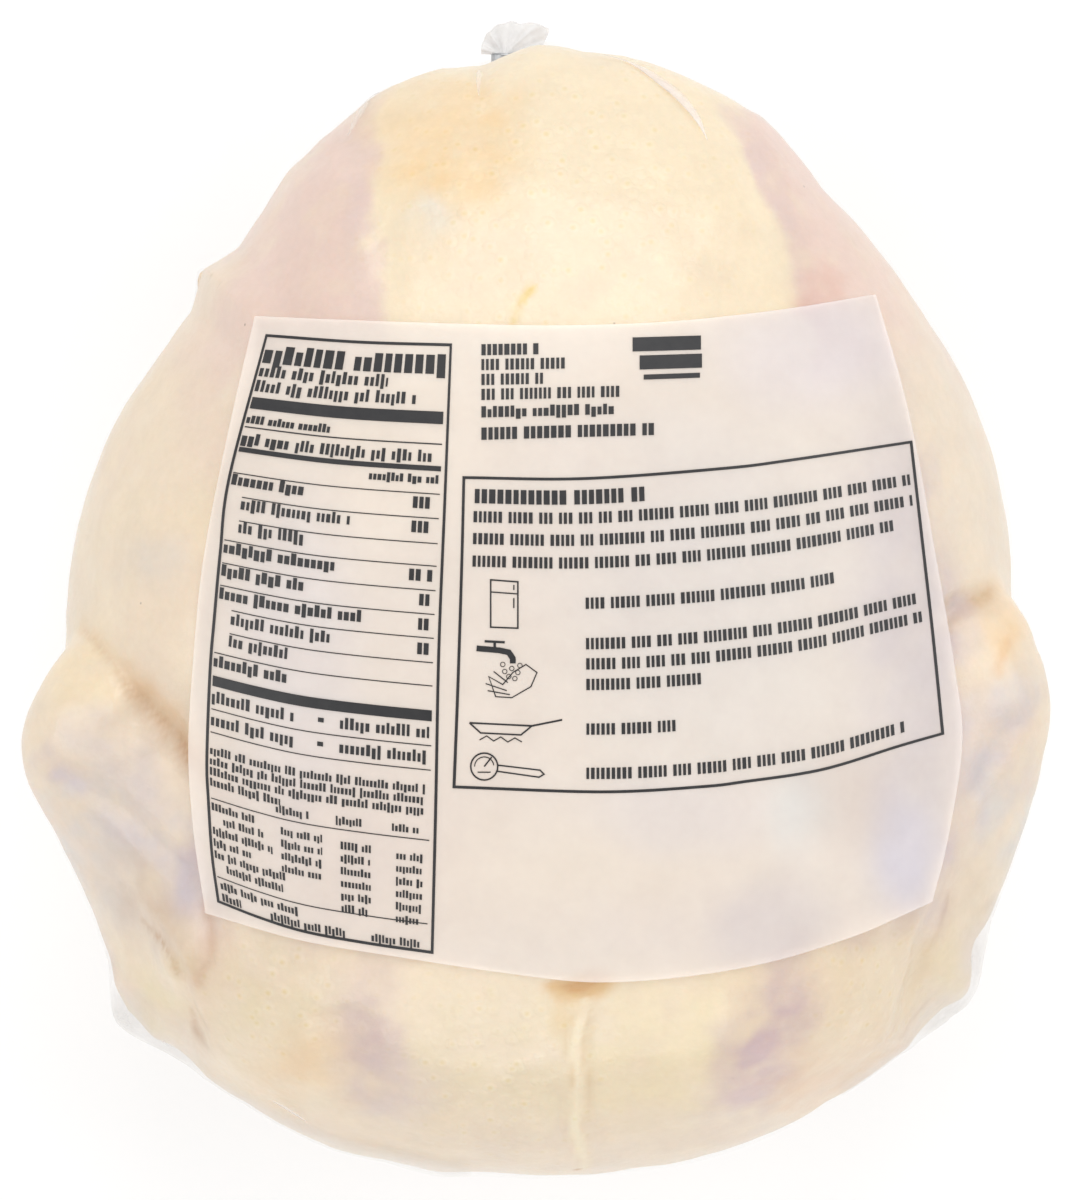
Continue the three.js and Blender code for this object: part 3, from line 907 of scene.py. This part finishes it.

# %% [markdown]
# Where film is folded on itself it lies in a flat, whitish band that ends in points. One more band
# of the same kind is a painted highlight: a glint on the film near the neck end. Each band is a
# strip of faces five points wide, laid on the film, and Solidify closes it. Film is taut, so a fold
# runs evenly over the steep sides. Its `milk` value is full at one edge and fades to the other one.

# %% Folds in the film, and a painted glint
FOLDS_AND_GLINT = [
    # (places, greatest half width in millimetres, how late it is widest, how milky)
    (((604, 55), (627, 61), (642, 69), (656, 78), (674, 92), (687, 105), (698, 119), (707, 141)),
     0.85, 1.5, 0.55),
    (((392, 82), (372, 98), (358, 116), (348, 136)), 0.7, 1.0, 0.2),
    (((480, 70), (479, 80), (479, 97)), 0.6, 0.7, 0.25),
    # A whitish band that stands in for a glint on the film: a painted highlight.
    (((272, 1100), (288, 1107), (306, 1121)), 0.5, 1.2, 0.4),
]
FOLD_ACROSS = [(-1.0, 0.9), (-0.5, 1.0), (0.0, 0.9), (0.5, 0.6), (1.0, 0.15)]
FOLD_LIFT = 0.02 * MM
FOLD_THICKNESS = 0.05 * MM


def on_surface(surface, place, lift=0.0):
    """The point on a surface straight below a place, or the nearest one past its edge."""
    high = Vector((place[0], place[1], 0.3))
    hit = surface.ray_cast(high, Vector((0, 0, -1)))
    if hit[0] is None:
        hit = surface.find_nearest(Vector((place[0], place[1], 0.05)))
    return hit[0] + hit[1] * lift


def even_heights(heights, reach=8):
    """Each height as the mean of those near it along the path, so that no fold zigzags."""
    padded = np.pad(heights, reach, mode="reflect", reflect_type="odd")
    return np.convolve(padded, np.ones(2 * reach + 1) / (2 * reach + 1), mode="valid")


fold_and_glint_points = []
fold_and_glint_faces = []
fold_and_glint_milk = []
for places, half_width, late, milk in FOLDS_AND_GLINT:
    path = curved(spots(*places), 8)
    steps = np.gradient(path, axis=0)
    sides = np.stack([-steps[:, 1], steps[:, 0]], axis=1) / np.linalg.norm(steps, axis=1)[:, None]
    heights = np.array([on_surface(film_surface, place)[2] for place in path])
    even = even_heights(heights)
    for i, place in enumerate(path):
        swell = max(0.06, math.sin(math.pi * (i / (len(path) - 1)) ** late) ** 0.8)
        for across, share in FOLD_ACROSS:
            reach = across * half_width * swell * MM
            at = place + sides[i] * reach
            slope = on_surface(film_surface, at)[2] - heights[i]
            height = even[i] + np.clip(slope, -2 * abs(reach), 2 * abs(reach))
            nearest = film_surface.find_nearest(Vector((at[0], at[1], height)))
            fold_and_glint_points.append(nearest[0] + nearest[1] * FOLD_LIFT)
            fold_and_glint_milk.append(milk * share)
        if i:
            for k in range(1, len(FOLD_ACROSS)):
                a, b = len(fold_and_glint_points) - k - 1, len(fold_and_glint_points) - k
                fold_and_glint_faces.append((a, b, b - len(FOLD_ACROSS), a - len(FOLD_ACROSS)))
mesh = bpy.data.meshes.new("film_folds_and_glint")
mesh.from_pydata(fold_and_glint_points, [], fold_and_glint_faces)
film_folds_and_glint = add_object("film_folds_and_glint", mesh)
give_values(film_folds_and_glint, "milk", fold_and_glint_milk)
face_outwards(film_folds_and_glint)
if film_folds_and_glint.data.polygons[0].normal.z < 0:
    film_folds_and_glint.data.flip_normals()
apply_modifier(film_folds_and_glint, "SOLIDIFY", thickness=FOLD_THICKNESS, offset=1)
bpy.ops.object.shade_smooth()

folded_film_and_glint, tree, shader = finish("folded_film_and_glint")
uneven = span(tree, mottle(tree, 3.0, 2.0), 0, 1, 0.7, 1.25)
feed(tree, shader, [
    ("Base Color",
     mix(tree, mottle(tree, 2.0, 1.6), (0.74, 0.67, 0.63, 1), (0.80, 0.74, 0.70, 1))),
    ("Alpha", math_node(tree, "MULTIPLY", attribute(tree, "milk"), uneven, True)),
    ("Roughness", 0.45),
])
film_folds_and_glint.data.materials.append(folded_film_and_glint)
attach(film_folds_and_glint, "root")
film_folds_and_glint.visible_shadow = False
report(film_folds_and_glint)

# %% [markdown]
# At the gather the film runs together in pleats into a neck as thin as a pencil lead, through the
# clip, and past it opens again as a pleated fan, folded flat, so it has a front and a back layer. A
# flat grid is rolled into that tube row by row, and Solidify gives it the thickness that closes it.

# %% Neck and frill
AROUND = 144
ALONG = 40
NECK_START = 90.6
NECK_END = 104.4
NECK_RADIUS = 1.1
MOUTH_RADIUS = 4.4
TAPER = 9.0
NECK_SHARE = 0.45  # how much of the tube's length is neck, and the rest is the fan
FRILL_THICKNESS = 0.08 * MM
THIN_WELD = 0.002 * MM
FAN_CENTRE = 95  # degrees, and how far it opens to each side of that
FAN_SPREAD = 83
FAN_MIDDLE = (-6.0, 104.3, 43.0)
FAN_TURNS = [12, 31, 48, 63, 81, 108, 130, 151, 178]
FAN_REACH = [7.2, 9.8, 8.1, 6.7, 6.4, 5.7, 5.2, 4.8, 4.4]

frill = add_grid("frill", AROUND, ALONG)
flat = corners(frill)
turn = (flat[:, 0] + 0.5) * 2 * math.pi
share = flat[:, 1] + 0.5

neck_y = NECK_START + np.clip(share / NECK_SHARE, 0, 1) * (NECK_END - NECK_START)
taper = np.clip(1 - (neck_y - NECK_START) / TAPER, 0, 1) ** 1.5
radius = NECK_RADIUS + (MOUTH_RADIUS - NECK_RADIUS) * taper
radius *= 1 + (0.1 + 0.06 * taper) * np.sin(13 * turn + np.sin(2 * turn))
neck_at = np.stack([FAN_MIDDLE[0] + radius * np.cos(turn), neck_y,
                    FAN_MIDDLE[2] + radius * np.sin(turn)], axis=1)

opened = np.clip((share - NECK_SHARE) / (1 - NECK_SHARE), 0, 1)
fan_turn = FAN_CENTRE - FAN_SPREAD * np.cos(turn)
ray = np.radians(fan_turn)
reach = np.interp(fan_turn, FAN_TURNS, FAN_REACH)
reach = reach * (1 + 0.02 * np.sin(13 * ray + 3 * np.sin(turn)))
wave = np.sin(9 * ray + 1.4 * np.sin(3 * ray)) + 0.3 * np.sin(26 * ray + 2.0 * opened)
fan_at = np.stack([
    FAN_MIDDLE[0] + reach * opened * np.cos(ray),
    FAN_MIDDLE[1] + reach * opened * np.sin(ray),
    FAN_MIDDLE[2] + np.sin(turn) * (0.9 + 0.2 * opened) + wave * (0.1 + 0.7 * opened),
], axis=1)
fanned = smooth(opened / 0.4)[:, None]
put_corners(frill, (neck_at * (1 - fanned) + fan_at * fanned) * MM)
weld(frill, THIN_WELD)
face_outwards(frill)
apply_modifier(frill, "SOLIDIFY", thickness=FRILL_THICKNESS, offset=0)
bpy.ops.object.shade_smooth()

crumpled_film, tree, shader = finish("crumpled_film")
feed(tree, shader, [
    ("Base Color",
     mix(tree, mottle(tree, 2.0, 1.8), (0.74, 0.735, 0.725, 1), (0.84, 0.83, 0.82, 1))),
    ("Alpha", span(tree, mottle(tree, 2.5, 2.0), 0, 1, 0.17, 0.3)),
    ("Roughness", 0.3),
])
frill.data.materials.append(crumpled_film)
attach(frill, "root")
report(frill)

# %% [markdown]
# The clip is a rigid crimped ring, and the solid model already has its true shape, so that solid
# stays and gets a metal finish: bare soft aluminium, dull, with fine marks.

# %% Clip
clip_metal, tree, shader = finish("clip_metal")
feed(tree, shader, [
    ("Base Color",
     mix(tree, mottle(tree, 0.8, 2.0), (0.32, 0.33, 0.34, 1), (0.48, 0.49, 0.50, 1))),
    ("Roughness", span(tree, mottle(tree, 0.6, 2.0), 0, 1, 0.28, 0.5)),
    ("Metallic", 1.0),
    ("Normal", bump(tree, 0.3, 0.0001, mottle(tree, 0.7, 2.0))),
])
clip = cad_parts["clip"]
clip.data.materials.clear()
clip.data.materials.append(clip_metal)
print("clip is", np.round(np.ptp(corners(clip), axis=0) / MM, 1), "mm")

# %% [markdown]
# The label is a milky film stuck to the bag. It lies smoothly over the back, but it doesn't reach
# into dips, since it was stretched on. A grid is fitted to the label's four curved edges, let down
# on the film, and then pulled tight: each point rises to the mean of its neighbours, but never
# below the film.

# %% Label
LABEL_TOP = spots((256, 317), (340, 321), (450, 325), (560, 327), (670, 323), (780, 311),
                  (875, 295))
LABEL_RIGHT = spots((875, 295), (908, 415), (935, 560), (953, 665), (961, 742), (947, 837),
                    (931, 901))
LABEL_BOTTOM = spots((207, 912), (300, 938), (400, 955), (500, 970), (590, 980), (680, 975),
                     (769, 960), (852, 935), (895, 917), (931, 901))
LABEL_LEFT = spots((256, 317), (228, 440), (205, 560), (195, 660), (190, 750), (195, 830),
                   (207, 912))
COLUMNS = 84
ROWS = 74
LABEL_LIFT = 0.18 * MM
LABEL_THICKNESS = 0.12 * MM
LABEL_PULLS = 120
CRINKLE = 0.07 * MM
CRINKLE_SIZE = 9 * MM


def edge(path):
    """A rounded path as a function: shares of its length in, places on it out."""
    fine = curved(path, 12)
    lengths = np.concatenate([[0], np.cumsum(np.linalg.norm(np.diff(fine, axis=0), axis=1))])

    def at(shares):
        wanted = np.asarray(shares) * lengths[-1]
        return np.stack([np.interp(wanted, lengths, fine[:, k]) for k in (0, 1)], axis=-1)

    return at


def patch(top, right, bottom, left):
    """Places inside four curved edges: across is 0 to 1 from the left, down 0 to 1 from the top."""
    tl, tr, bl, br = top[0], top[-1], bottom[0], bottom[-1]
    top, right, bottom, left = edge(top), edge(right), edge(bottom), edge(left)

    def place(across, down):
        s = np.asarray(across, float)[..., None]
        t = np.asarray(down, float)[..., None]
        between_rows = (1 - t) * top(across) + t * bottom(across)
        between_sides = (1 - s) * left(down) + s * right(down)
        plain = (1 - s) * (1 - t) * tl + s * (1 - t) * tr + (1 - s) * t * bl + s * t * br
        return between_rows + between_sides - plain

    return place


label_place = patch(LABEL_TOP, LABEL_RIGHT, LABEL_BOTTOM, LABEL_LEFT)
label = add_grid("label_sheet", COLUMNS, ROWS)
flat = corners(label)
places = label_place(flat[:, 0] + 0.5, 0.5 - flat[:, 1])
floor_heights = np.array([on_surface(film_surface, place)[2] for place in places]) + LABEL_LIFT
row_of = np.round((0.5 - flat[:, 1]) * ROWS).astype(int)
column_of = np.round((flat[:, 0] + 0.5) * COLUMNS).astype(int)
height = np.zeros((ROWS + 1, COLUMNS + 1))
height[row_of, column_of] = floor_heights
lowest = height.copy()
for _ in range(LABEL_PULLS):
    padded = np.pad(height, 1, mode="reflect", reflect_type="odd")
    mean = (padded[:-2, 1:-1] + padded[2:, 1:-1] + padded[1:-1, :-2] + padded[1:-1, 2:]) / 4
    height = np.maximum(lowest, mean)
label_heights = height[row_of, column_of]
put_corners(label, np.hstack([places, label_heights[:, None]]))
crinkle = [noise.noise(Vector((x, y, 3.0)) / CRINKLE_SIZE) for x, y in places]
table = corners(label)
table[:, 2] += (np.array(crinkle) + 0.6) * CRINKLE
put_corners(label, table)
apply_modifier(label, "SOLIDIFY", thickness=LABEL_THICKNESS, offset=1)
only(label)
bpy.ops.object.shade_smooth_by_angle(angle=math.radians(40))

# What lies under the label tints it: pink and lilac flesh, a pale pocket of air, yellow fat.
SHEET_LIGHT = 0.92
RAGGED_SIZE = 16 * MM
RAGGED = 4 * MM
sheet_at = corners(label)[:, :2]
sheet_at = sheet_at + RAGGED * np.array([
    [noise.noise(Vector((x, y, layer)) / RAGGED_SIZE) for layer in (0, 1)] for x, y in sheet_at])
sheet = np.tile(linear((236, 227, 219)) / SHEET_LIGHT, (len(sheet_at), 1))
for tone, place, wide, long, strength, turn in [
    ((242, 234, 226), (480, 350), 230, 60, 0.9, 4),
    ((244, 234, 222), (360, 450), 130, 110, 0.6, 0),
    ((230, 225, 221), (720, 600), 150, 190, 0.8, 0),
    ((231, 225, 232), (820, 350), 110, 60, 0.6, -10),
    ((224, 216, 215), (918, 620), 52, 220, 0.8, 4),
    ((234, 222, 213), (380, 850), 170, 90, 0.6, -8),
    ((226, 222, 228), (300, 640), 60, 160, 0.4, 0),
    ((238, 228, 216), (590, 880), 150, 60, 0.7, 0),
    ((222, 214, 214), (770, 930), 60, 50, 0.7, 20),
    ((226, 221, 227), (902, 850), 36, 70, 0.9, 12),
    ((228, 222, 224), (680, 810), 90, 40, 0.5, 0),
    ((228, 225, 222), (797, 816), 34, 46, 0.9, -25),
    ((222, 210, 204), (850, 800), 46, 60, 0.6, 20),
]:
    weight = oval(sheet_at, place, wide, long, turn)[:, None] * strength
    sheet += (linear(tone) / SHEET_LIGHT - sheet) * weight
give_colours(label, "sheet_tone", sheet)

milky_label, tree, shader = finish("milky_label")
cloudy = mix(tree, mottle(tree, 14.0, 1.6), (0.975, 0.97, 0.97, 1), (1.02, 1.02, 1.02, 1))
feed(tree, shader, [
    ("Base Color", mix(tree, 1.0, attribute(tree, "sheet_tone", "Color"), cloudy, "MULTIPLY")),
    ("Alpha", span(tree, mottle(tree, 9.0, 1.4), 0, 1, 0.38, 0.47)),
    ("Roughness", span(tree, mottle(tree, 3.0, 1.2), 0, 1, 0.38, 0.5)),
    ("Normal", bump(tree, 0.2, 0.0003, mottle(tree, 2.5, 1.0))),
])
label.data.materials.append(milky_label)
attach(label, "root")
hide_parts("label")
report(label)

# %% [markdown]
# The print is dark ink: frames, rules, rows of small type and four kitchen signs. The type here is
# only blocks of the size that type has, a block for each letter, so the label has its look and says
# nothing. All of it is laid out flat, in two panels whose edges curve as the label's print does,
# and then each point is dropped on the label. Thousands of blocks are quicker as one mesh than as
# a primitive each, and Solidify closes them.

# %% Laying out the ink
INK_STEP = 1.4 * MM
INK_LIFT = 0.03 * MM
INK_THICKNESS = 0.04 * MM

facts = patch(
    spots((266.8, 335.1), (360, 342), (452.6, 345)),
    spots((452.6, 345), (447, 497), (441, 648.5), (438, 800), (434.1, 952)),
    spots((218.7, 901), (263, 918), (308.4, 931.7), (371, 943), (434.1, 952)),
    spots((266.8, 335.1), (229.4, 477.5), (220.5, 552), (214.5, 618), (210.3, 669.5),
          (207, 758), (208.5, 799), (212.2, 854), (218.7, 901)),
)
handling = patch(
    spots((463, 477), (583, 478), (720, 468), (789, 459.5), (911, 441)),
    spots((911, 441), (921, 530), (933, 635), (943, 734)),
    spots((453, 787), (601, 792), (700, 787), (743, 782), (821, 770), (897, 747), (943, 734)),
    spots((463, 477), (461, 560), (457, 685), (453, 787)),
)
maker = patch(
    spots((480, 343), (655, 340)), spots((655, 340), (655, 437)),
    spots((480, 442), (655, 437)), spots((480, 343), (480, 442)),
)
ink_points = []
ink_faces = []


def ink_strip(upper, lower):
    """Faces between two rows of places."""
    first = len(ink_points)
    ink_points.extend(upper)
    ink_points.extend(lower)
    count = len(upper)
    for i in range(count - 1):
        ink_faces.append((first + i, first + count + i, first + count + i + 1, first + i + 1))


def panel_size(panel, across, down):
    """How wide and how long the panel is, through this place."""
    wide = np.linalg.norm(panel(1.0, down) - panel(0.0, down))
    long = np.linalg.norm(panel(across, 1.0) - panel(across, 0.0))
    return float(wide), float(long)


def field(panel, s0, s1, t0, t1):
    """A filled field between two shares across and two shares down the panel."""
    wide, long = panel_size(panel, (s0 + s1) / 2, (t0 + t1) / 2)
    columns = max(1, math.ceil((s1 - s0) * wide / INK_STEP))
    rows = max(1, math.ceil((t1 - t0) * long / INK_STEP))
    across = np.linspace(s0, s1, columns + 1)
    for r in range(rows):
        a = t0 + (t1 - t0) * r / rows
        b = t0 + (t1 - t0) * (r + 1) / rows
        ink_strip(list(panel(across, np.full(columns + 1, a))),
                  list(panel(across, np.full(columns + 1, b))))


def rule(panel, s0, s1, down, thick):
    _, long = panel_size(panel, (s0 + s1) / 2, down)
    field(panel, s0, s1, down - thick * MM / long / 2, down + thick * MM / long / 2)


def frame_round(panel, thick):
    wide, long = panel_size(panel, 0.5, 0.5)
    s = thick * MM / wide
    t = thick * MM / long
    field(panel, 0, 1, 0, t)
    field(panel, 0, 1, 1 - t, 1)
    field(panel, 0, s, t, 1 - t)
    field(panel, 1 - s, 1, t, 1 - t)


def type_row(panel, s0, s1, base, cap, bold=False, capitals=False, letters=(3, 9)):
    """A row of blocks, one a letter, in words of a few letters, from s0 to s1."""
    wide, long = panel_size(panel, (s0 + s1) / 2, base)
    letter = cap * (0.42 if bold else 0.30) * MM / wide
    gap = cap * (0.14 if bold else 0.16) * MM / wide
    word_gap = cap * 0.42 * MM / wide
    tall = cap * MM / long
    s = s0
    left = type_dice.randint(*letters)
    while s + letter <= s1 + gap:
        high = tall if capitals else tall * type_dice.choice((0.72, 0.72, 0.72, 1.0, 0.96))
        drop = 0 if capitals else tall * type_dice.choice((0, 0, 0, 0, 0.2))
        size = letter * type_dice.uniform(0.8, 1.12)
        field(panel, s, min(s + size, s1), base - high, base + drop)
        s += size + gap
        left -= 1
        if left == 0:
            s += word_gap
            left = type_dice.randint(*letters)


type_dice = random.Random(7)


# %% The left panel
def facts_row(base, ends, cap=2.2, indent=0.02, bold=False, value=None):
    type_row(facts, indent, ends, base, cap, bold)
    if value:
        type_row(facts, 1 - 0.03 - value, 0.965, base + 0.004, cap, True, True, (2, 3))


frame_round(facts, 0.55)
type_row(facts, 0.02, 0.97, 0.051, 3.7, True, False, (6, 9))
type_row(facts, 0.02, 0.68, 0.075, 2.3)
type_row(facts, 0.02, 0.84, 0.102, 2.3)
field(facts, 0.02, 0.97, 0.1125, 0.133)
type_row(facts, 0.02, 0.44, 0.159, 1.6, True)
rule(facts, 0.02, 0.97, 0.166, 0.25)
type_row(facts, 0.02, 0.25, 0.196, 2.2, True)
type_row(facts, 0.28, 0.96, 0.196, 2.2)
field(facts, 0.02, 0.97, 0.202, 0.2105)
type_row(facts, 0.64, 0.96, 0.231, 1.6, True)
for base, ends, indent, bold, value in [
    (0.269, 0.36, 0.02, True, 0.12), (0.309, 0.58, 0.08, False, 0.12),
    (0.349, 0.38, 0.08, False, None), (0.388, 0.56, 0.02, True, 0.12),
    (0.428, 0.40, 0.02, True, 0.07), (0.468, 0.66, 0.02, True, 0.07),
    (0.508, 0.52, 0.08, False, 0.07), (0.546, 0.36, 0.08, False, None),
    (0.586, 0.36, 0.02, True, None),
]:
    facts_row(base, ends, 2.2, indent, bold, value)
for down, start in [(0.248, 0.02), (0.288, 0.08), (0.329, 0.08), (0.366, 0.02), (0.406, 0.02),
                    (0.445, 0.02), (0.484, 0.08), (0.524, 0.08), (0.562, 0.02)]:
    rule(facts, start, 0.97, down, 0.2)
field(facts, 0.02, 0.97, 0.602, 0.620)
for base in (0.648, 0.688):
    type_row(facts, 0.02, 0.38, base, 2.2)
    type_row(facts, 0.58, 0.96, base, 2.2)
    field(facts, 0.485, 0.51, base - 0.014, base - 0.0065)
rule(facts, 0.02, 0.97, 0.66, 0.2)
rule(facts, 0.02, 0.97, 0.70, 0.2)
for base, ends in [(0.738, 0.95), (0.756, 0.95), (0.774, 0.95), (0.793, 0.33)]:
    type_row(facts, 0.02, ends, base, 1.6)
type_row(facts, 0.31, 0.46, 0.806, 1.45)
type_row(facts, 0.57, 0.68, 0.806, 1.45)
type_row(facts, 0.81, 0.93, 0.806, 1.45)
rule(facts, 0.02, 0.97, 0.815, 0.2)
for i, (first, second) in enumerate([(0.2, 1), (0.18, 1), (0.27, 1), (0.17, 1),
                                     (0.34, 0), (0.26, 0)]):
    base = 0.8475 + 0.0208 * i
    indent = 0.07 if i in (1, 5) else 0.02
    type_row(facts, indent, indent + first, base - 0.012, 1.45)
    if second:
        type_row(facts, 0.33, 0.51, base - 0.006, 1.45)
    type_row(facts, 0.59, 0.72, base, 1.45)
    type_row(facts, 0.83, 0.95, base + 0.004, 1.45)
rule(facts, 0.02, 0.97, 0.952, 0.2)
type_row(facts, 0.03, 0.40, 0.972, 1.5)
for start, ends in [(0.03, 0.12), (0.26, 0.61), (0.72, 0.94)]:
    type_row(facts, start, ends, 0.993, 1.5)
print("left panel has", len(ink_faces), "faces")

# %% The right panel and the rows above it
frame_round(handling, 0.55)
type_row(handling, 0.028, 0.40, 0.086, 2.7, True, True, (4, 12))
for base, ends in [(0.147, 0.985), (0.217, 0.985), (0.289, 0.94)]:
    type_row(handling, 0.026, ends, base, 2.15, False, True)
for base, ends in [(0.417, 0.80), (0.545, 0.97), (0.609, 0.98), (0.674, 0.505), (0.815, 0.455),
                   (0.955, 0.925)]:
    type_row(handling, 0.268, ends, base, 2.15, False, True)

type_row(maker, 0.01, 0.36, 0.14, 2.1, True, True)
type_row(maker, 0.01, 0.50, 0.29, 2.1, False, True)
type_row(maker, 0.01, 0.37, 0.44, 2.1, False, True)
type_row(maker, 0.01, 0.81, 0.59, 2.1, False, True)
type_row(maker, 0.01, 0.78, 0.765, 2.1, True)
type_row(maker, 0.01, 0.99, 0.99, 2.3, True, True)
print("both panels have", len(ink_faces), "faces")

# %% [markdown]
# The four signs beside the right panel's rows are plain kitchen things: a cupboard for cold food,
# a tap over a hand, a pan and a dial. Each is drawn with a pen stroke of even width, which is a
# strip of faces either side of a path.

# %% Four kitchen signs
def pen(places, width, closed=False):
    """An even stroke along places, its width in millimetres."""
    path = spots(*places)
    if closed:
        path = np.vstack([path, path[:1]])
    steps = np.diff(path, axis=0)
    steps = steps / np.maximum(np.linalg.norm(steps, axis=1), 1e-9)[:, None]
    sides = np.stack([-steps[:, 1], steps[:, 0]], axis=1)
    before = np.vstack([sides[-1:] if closed else sides[:1], sides])
    after = np.vstack([sides, sides[:1] if closed else sides[-1:]])
    mitre = before + after
    mitre = mitre / np.maximum((mitre * after).sum(1), 0.4)[:, None]
    ink_strip(list(path + mitre * width * MM / 2), list(path - mitre * width * MM / 2))


def ring(px, py, radius, count=28, start=0.0, ends=1.0):
    """Places round a circle, its radius in pixels."""
    turns = [2 * math.pi * (start + (ends - start) * i / count) for i in range(count + (ends < 1))]
    return [(px + radius * math.cos(a), py - radius * math.sin(a)) for a in turns]


# cold cupboard
pen([(491, 580), (518, 582), (518, 628), (491, 627)], 0.3, True)
pen([(491, 592), (518, 594)], 0.25)
pen([(514, 585), (514, 590)], 0.25)
pen([(514, 598), (514, 608)], 0.25)
# tap and hand
pen([(477, 648), (500, 650), (509, 652), (513, 658), (513, 663)], 1.1)
pen([(495, 641), (495, 650)], 0.5)
pen([(485, 641), (505, 642)], 0.45)
for px, py in [(505, 671), (512, 668), (518, 672), (509, 676), (515, 678), (503, 664), (520, 665)]:
    pen(ring(px, py, 2.3, 10), 0.14, True)
pen([(489, 676), (503, 684), (513, 672), (526, 664), (537, 672), (531, 686), (512, 697),
     (496, 696)], 0.22, True)
for a, b in [((486, 683), (507, 690)), ((488, 690), (510, 694)), ((494, 671), (508, 682))]:
    pen([a, b], 0.22)
# pan
pen([(470, 722), (532, 725), (562, 719)], 0.35)
pen([(470, 722), (481, 732), (521, 734), (532, 725)], 0.3)
pen([(480, 739), (487, 735), (494, 740), (501, 736), (508, 741), (515, 737), (522, 741)], 0.22)
# dial
pen(ring(484.6, 765.4, 13.4), 0.3, True)
pen(ring(484.6, 765.4, 9.6, 14, 0.02, 0.5), 0.2)
pen([(484.6, 765.4), (492, 756)], 0.28)
pen([(478, 771), (491, 771)], 0.22)
pen([(498, 764), (540, 769), (544, 773), (539, 776), (497, 770)], 0.28)
print("with the signs, the ink has", len(ink_faces), "faces")

# %% [markdown]
# Where the real label bears a name there is a plain mark here: three bars of the same weight.

# %% A plain mark, and the ink as a mesh
BARS = [(338, 352, 632, 700), (356, 370, 639, 701), (375, 380, 643, 699)]
for upper, lower, start, ends in BARS:
    tl, tr = (start, upper + 1), (ends, upper - 1)
    bl, br = (start, lower + 1), (ends, lower - 1)
    field(patch(spots(tl, tr), spots(tr, br), spots(bl, br), spots(tl, bl)), 0, 1, 0, 1)

label_surface = BVHTree.FromObject(label, bpy.context.evaluated_depsgraph_get())
laid = [on_surface(label_surface, place, INK_LIFT) for place in ink_points]
ink_mesh = bpy.data.meshes.new("label_ink")
ink_mesh.from_pydata(laid, [], ink_faces)
ink = add_object("label_ink", ink_mesh)
weld(ink, THIN_WELD)
facing_down = sum(p.normal.z < 0 for p in ink.data.polygons)
print(facing_down, "of", len(ink.data.polygons), "ink faces point down")
if facing_down > len(ink.data.polygons) / 2:
    ink.data.flip_normals()
for face in ink.data.polygons:
    face.select = face.normal.z < 0
bpy.ops.object.mode_set(mode="EDIT")
bpy.ops.mesh.flip_normals()
bpy.ops.object.mode_set(mode="OBJECT")
apply_modifier(ink, "SOLIDIFY", thickness=INK_THICKNESS, offset=1)

dark_ink, tree, shader = finish("dark_ink")
feed(tree, shader, [
    ("Base Color",
     mix(tree, mottle(tree, 2.0, 1.6), (0.010, 0.010, 0.012, 1), (0.020, 0.019, 0.020, 1))),
    ("Roughness", span(tree, mottle(tree, 3.0, 1.2), 0, 1, 0.4, 0.55)),
])
ink.data.materials.append(dark_ink)
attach(ink, "root")
report(ink)
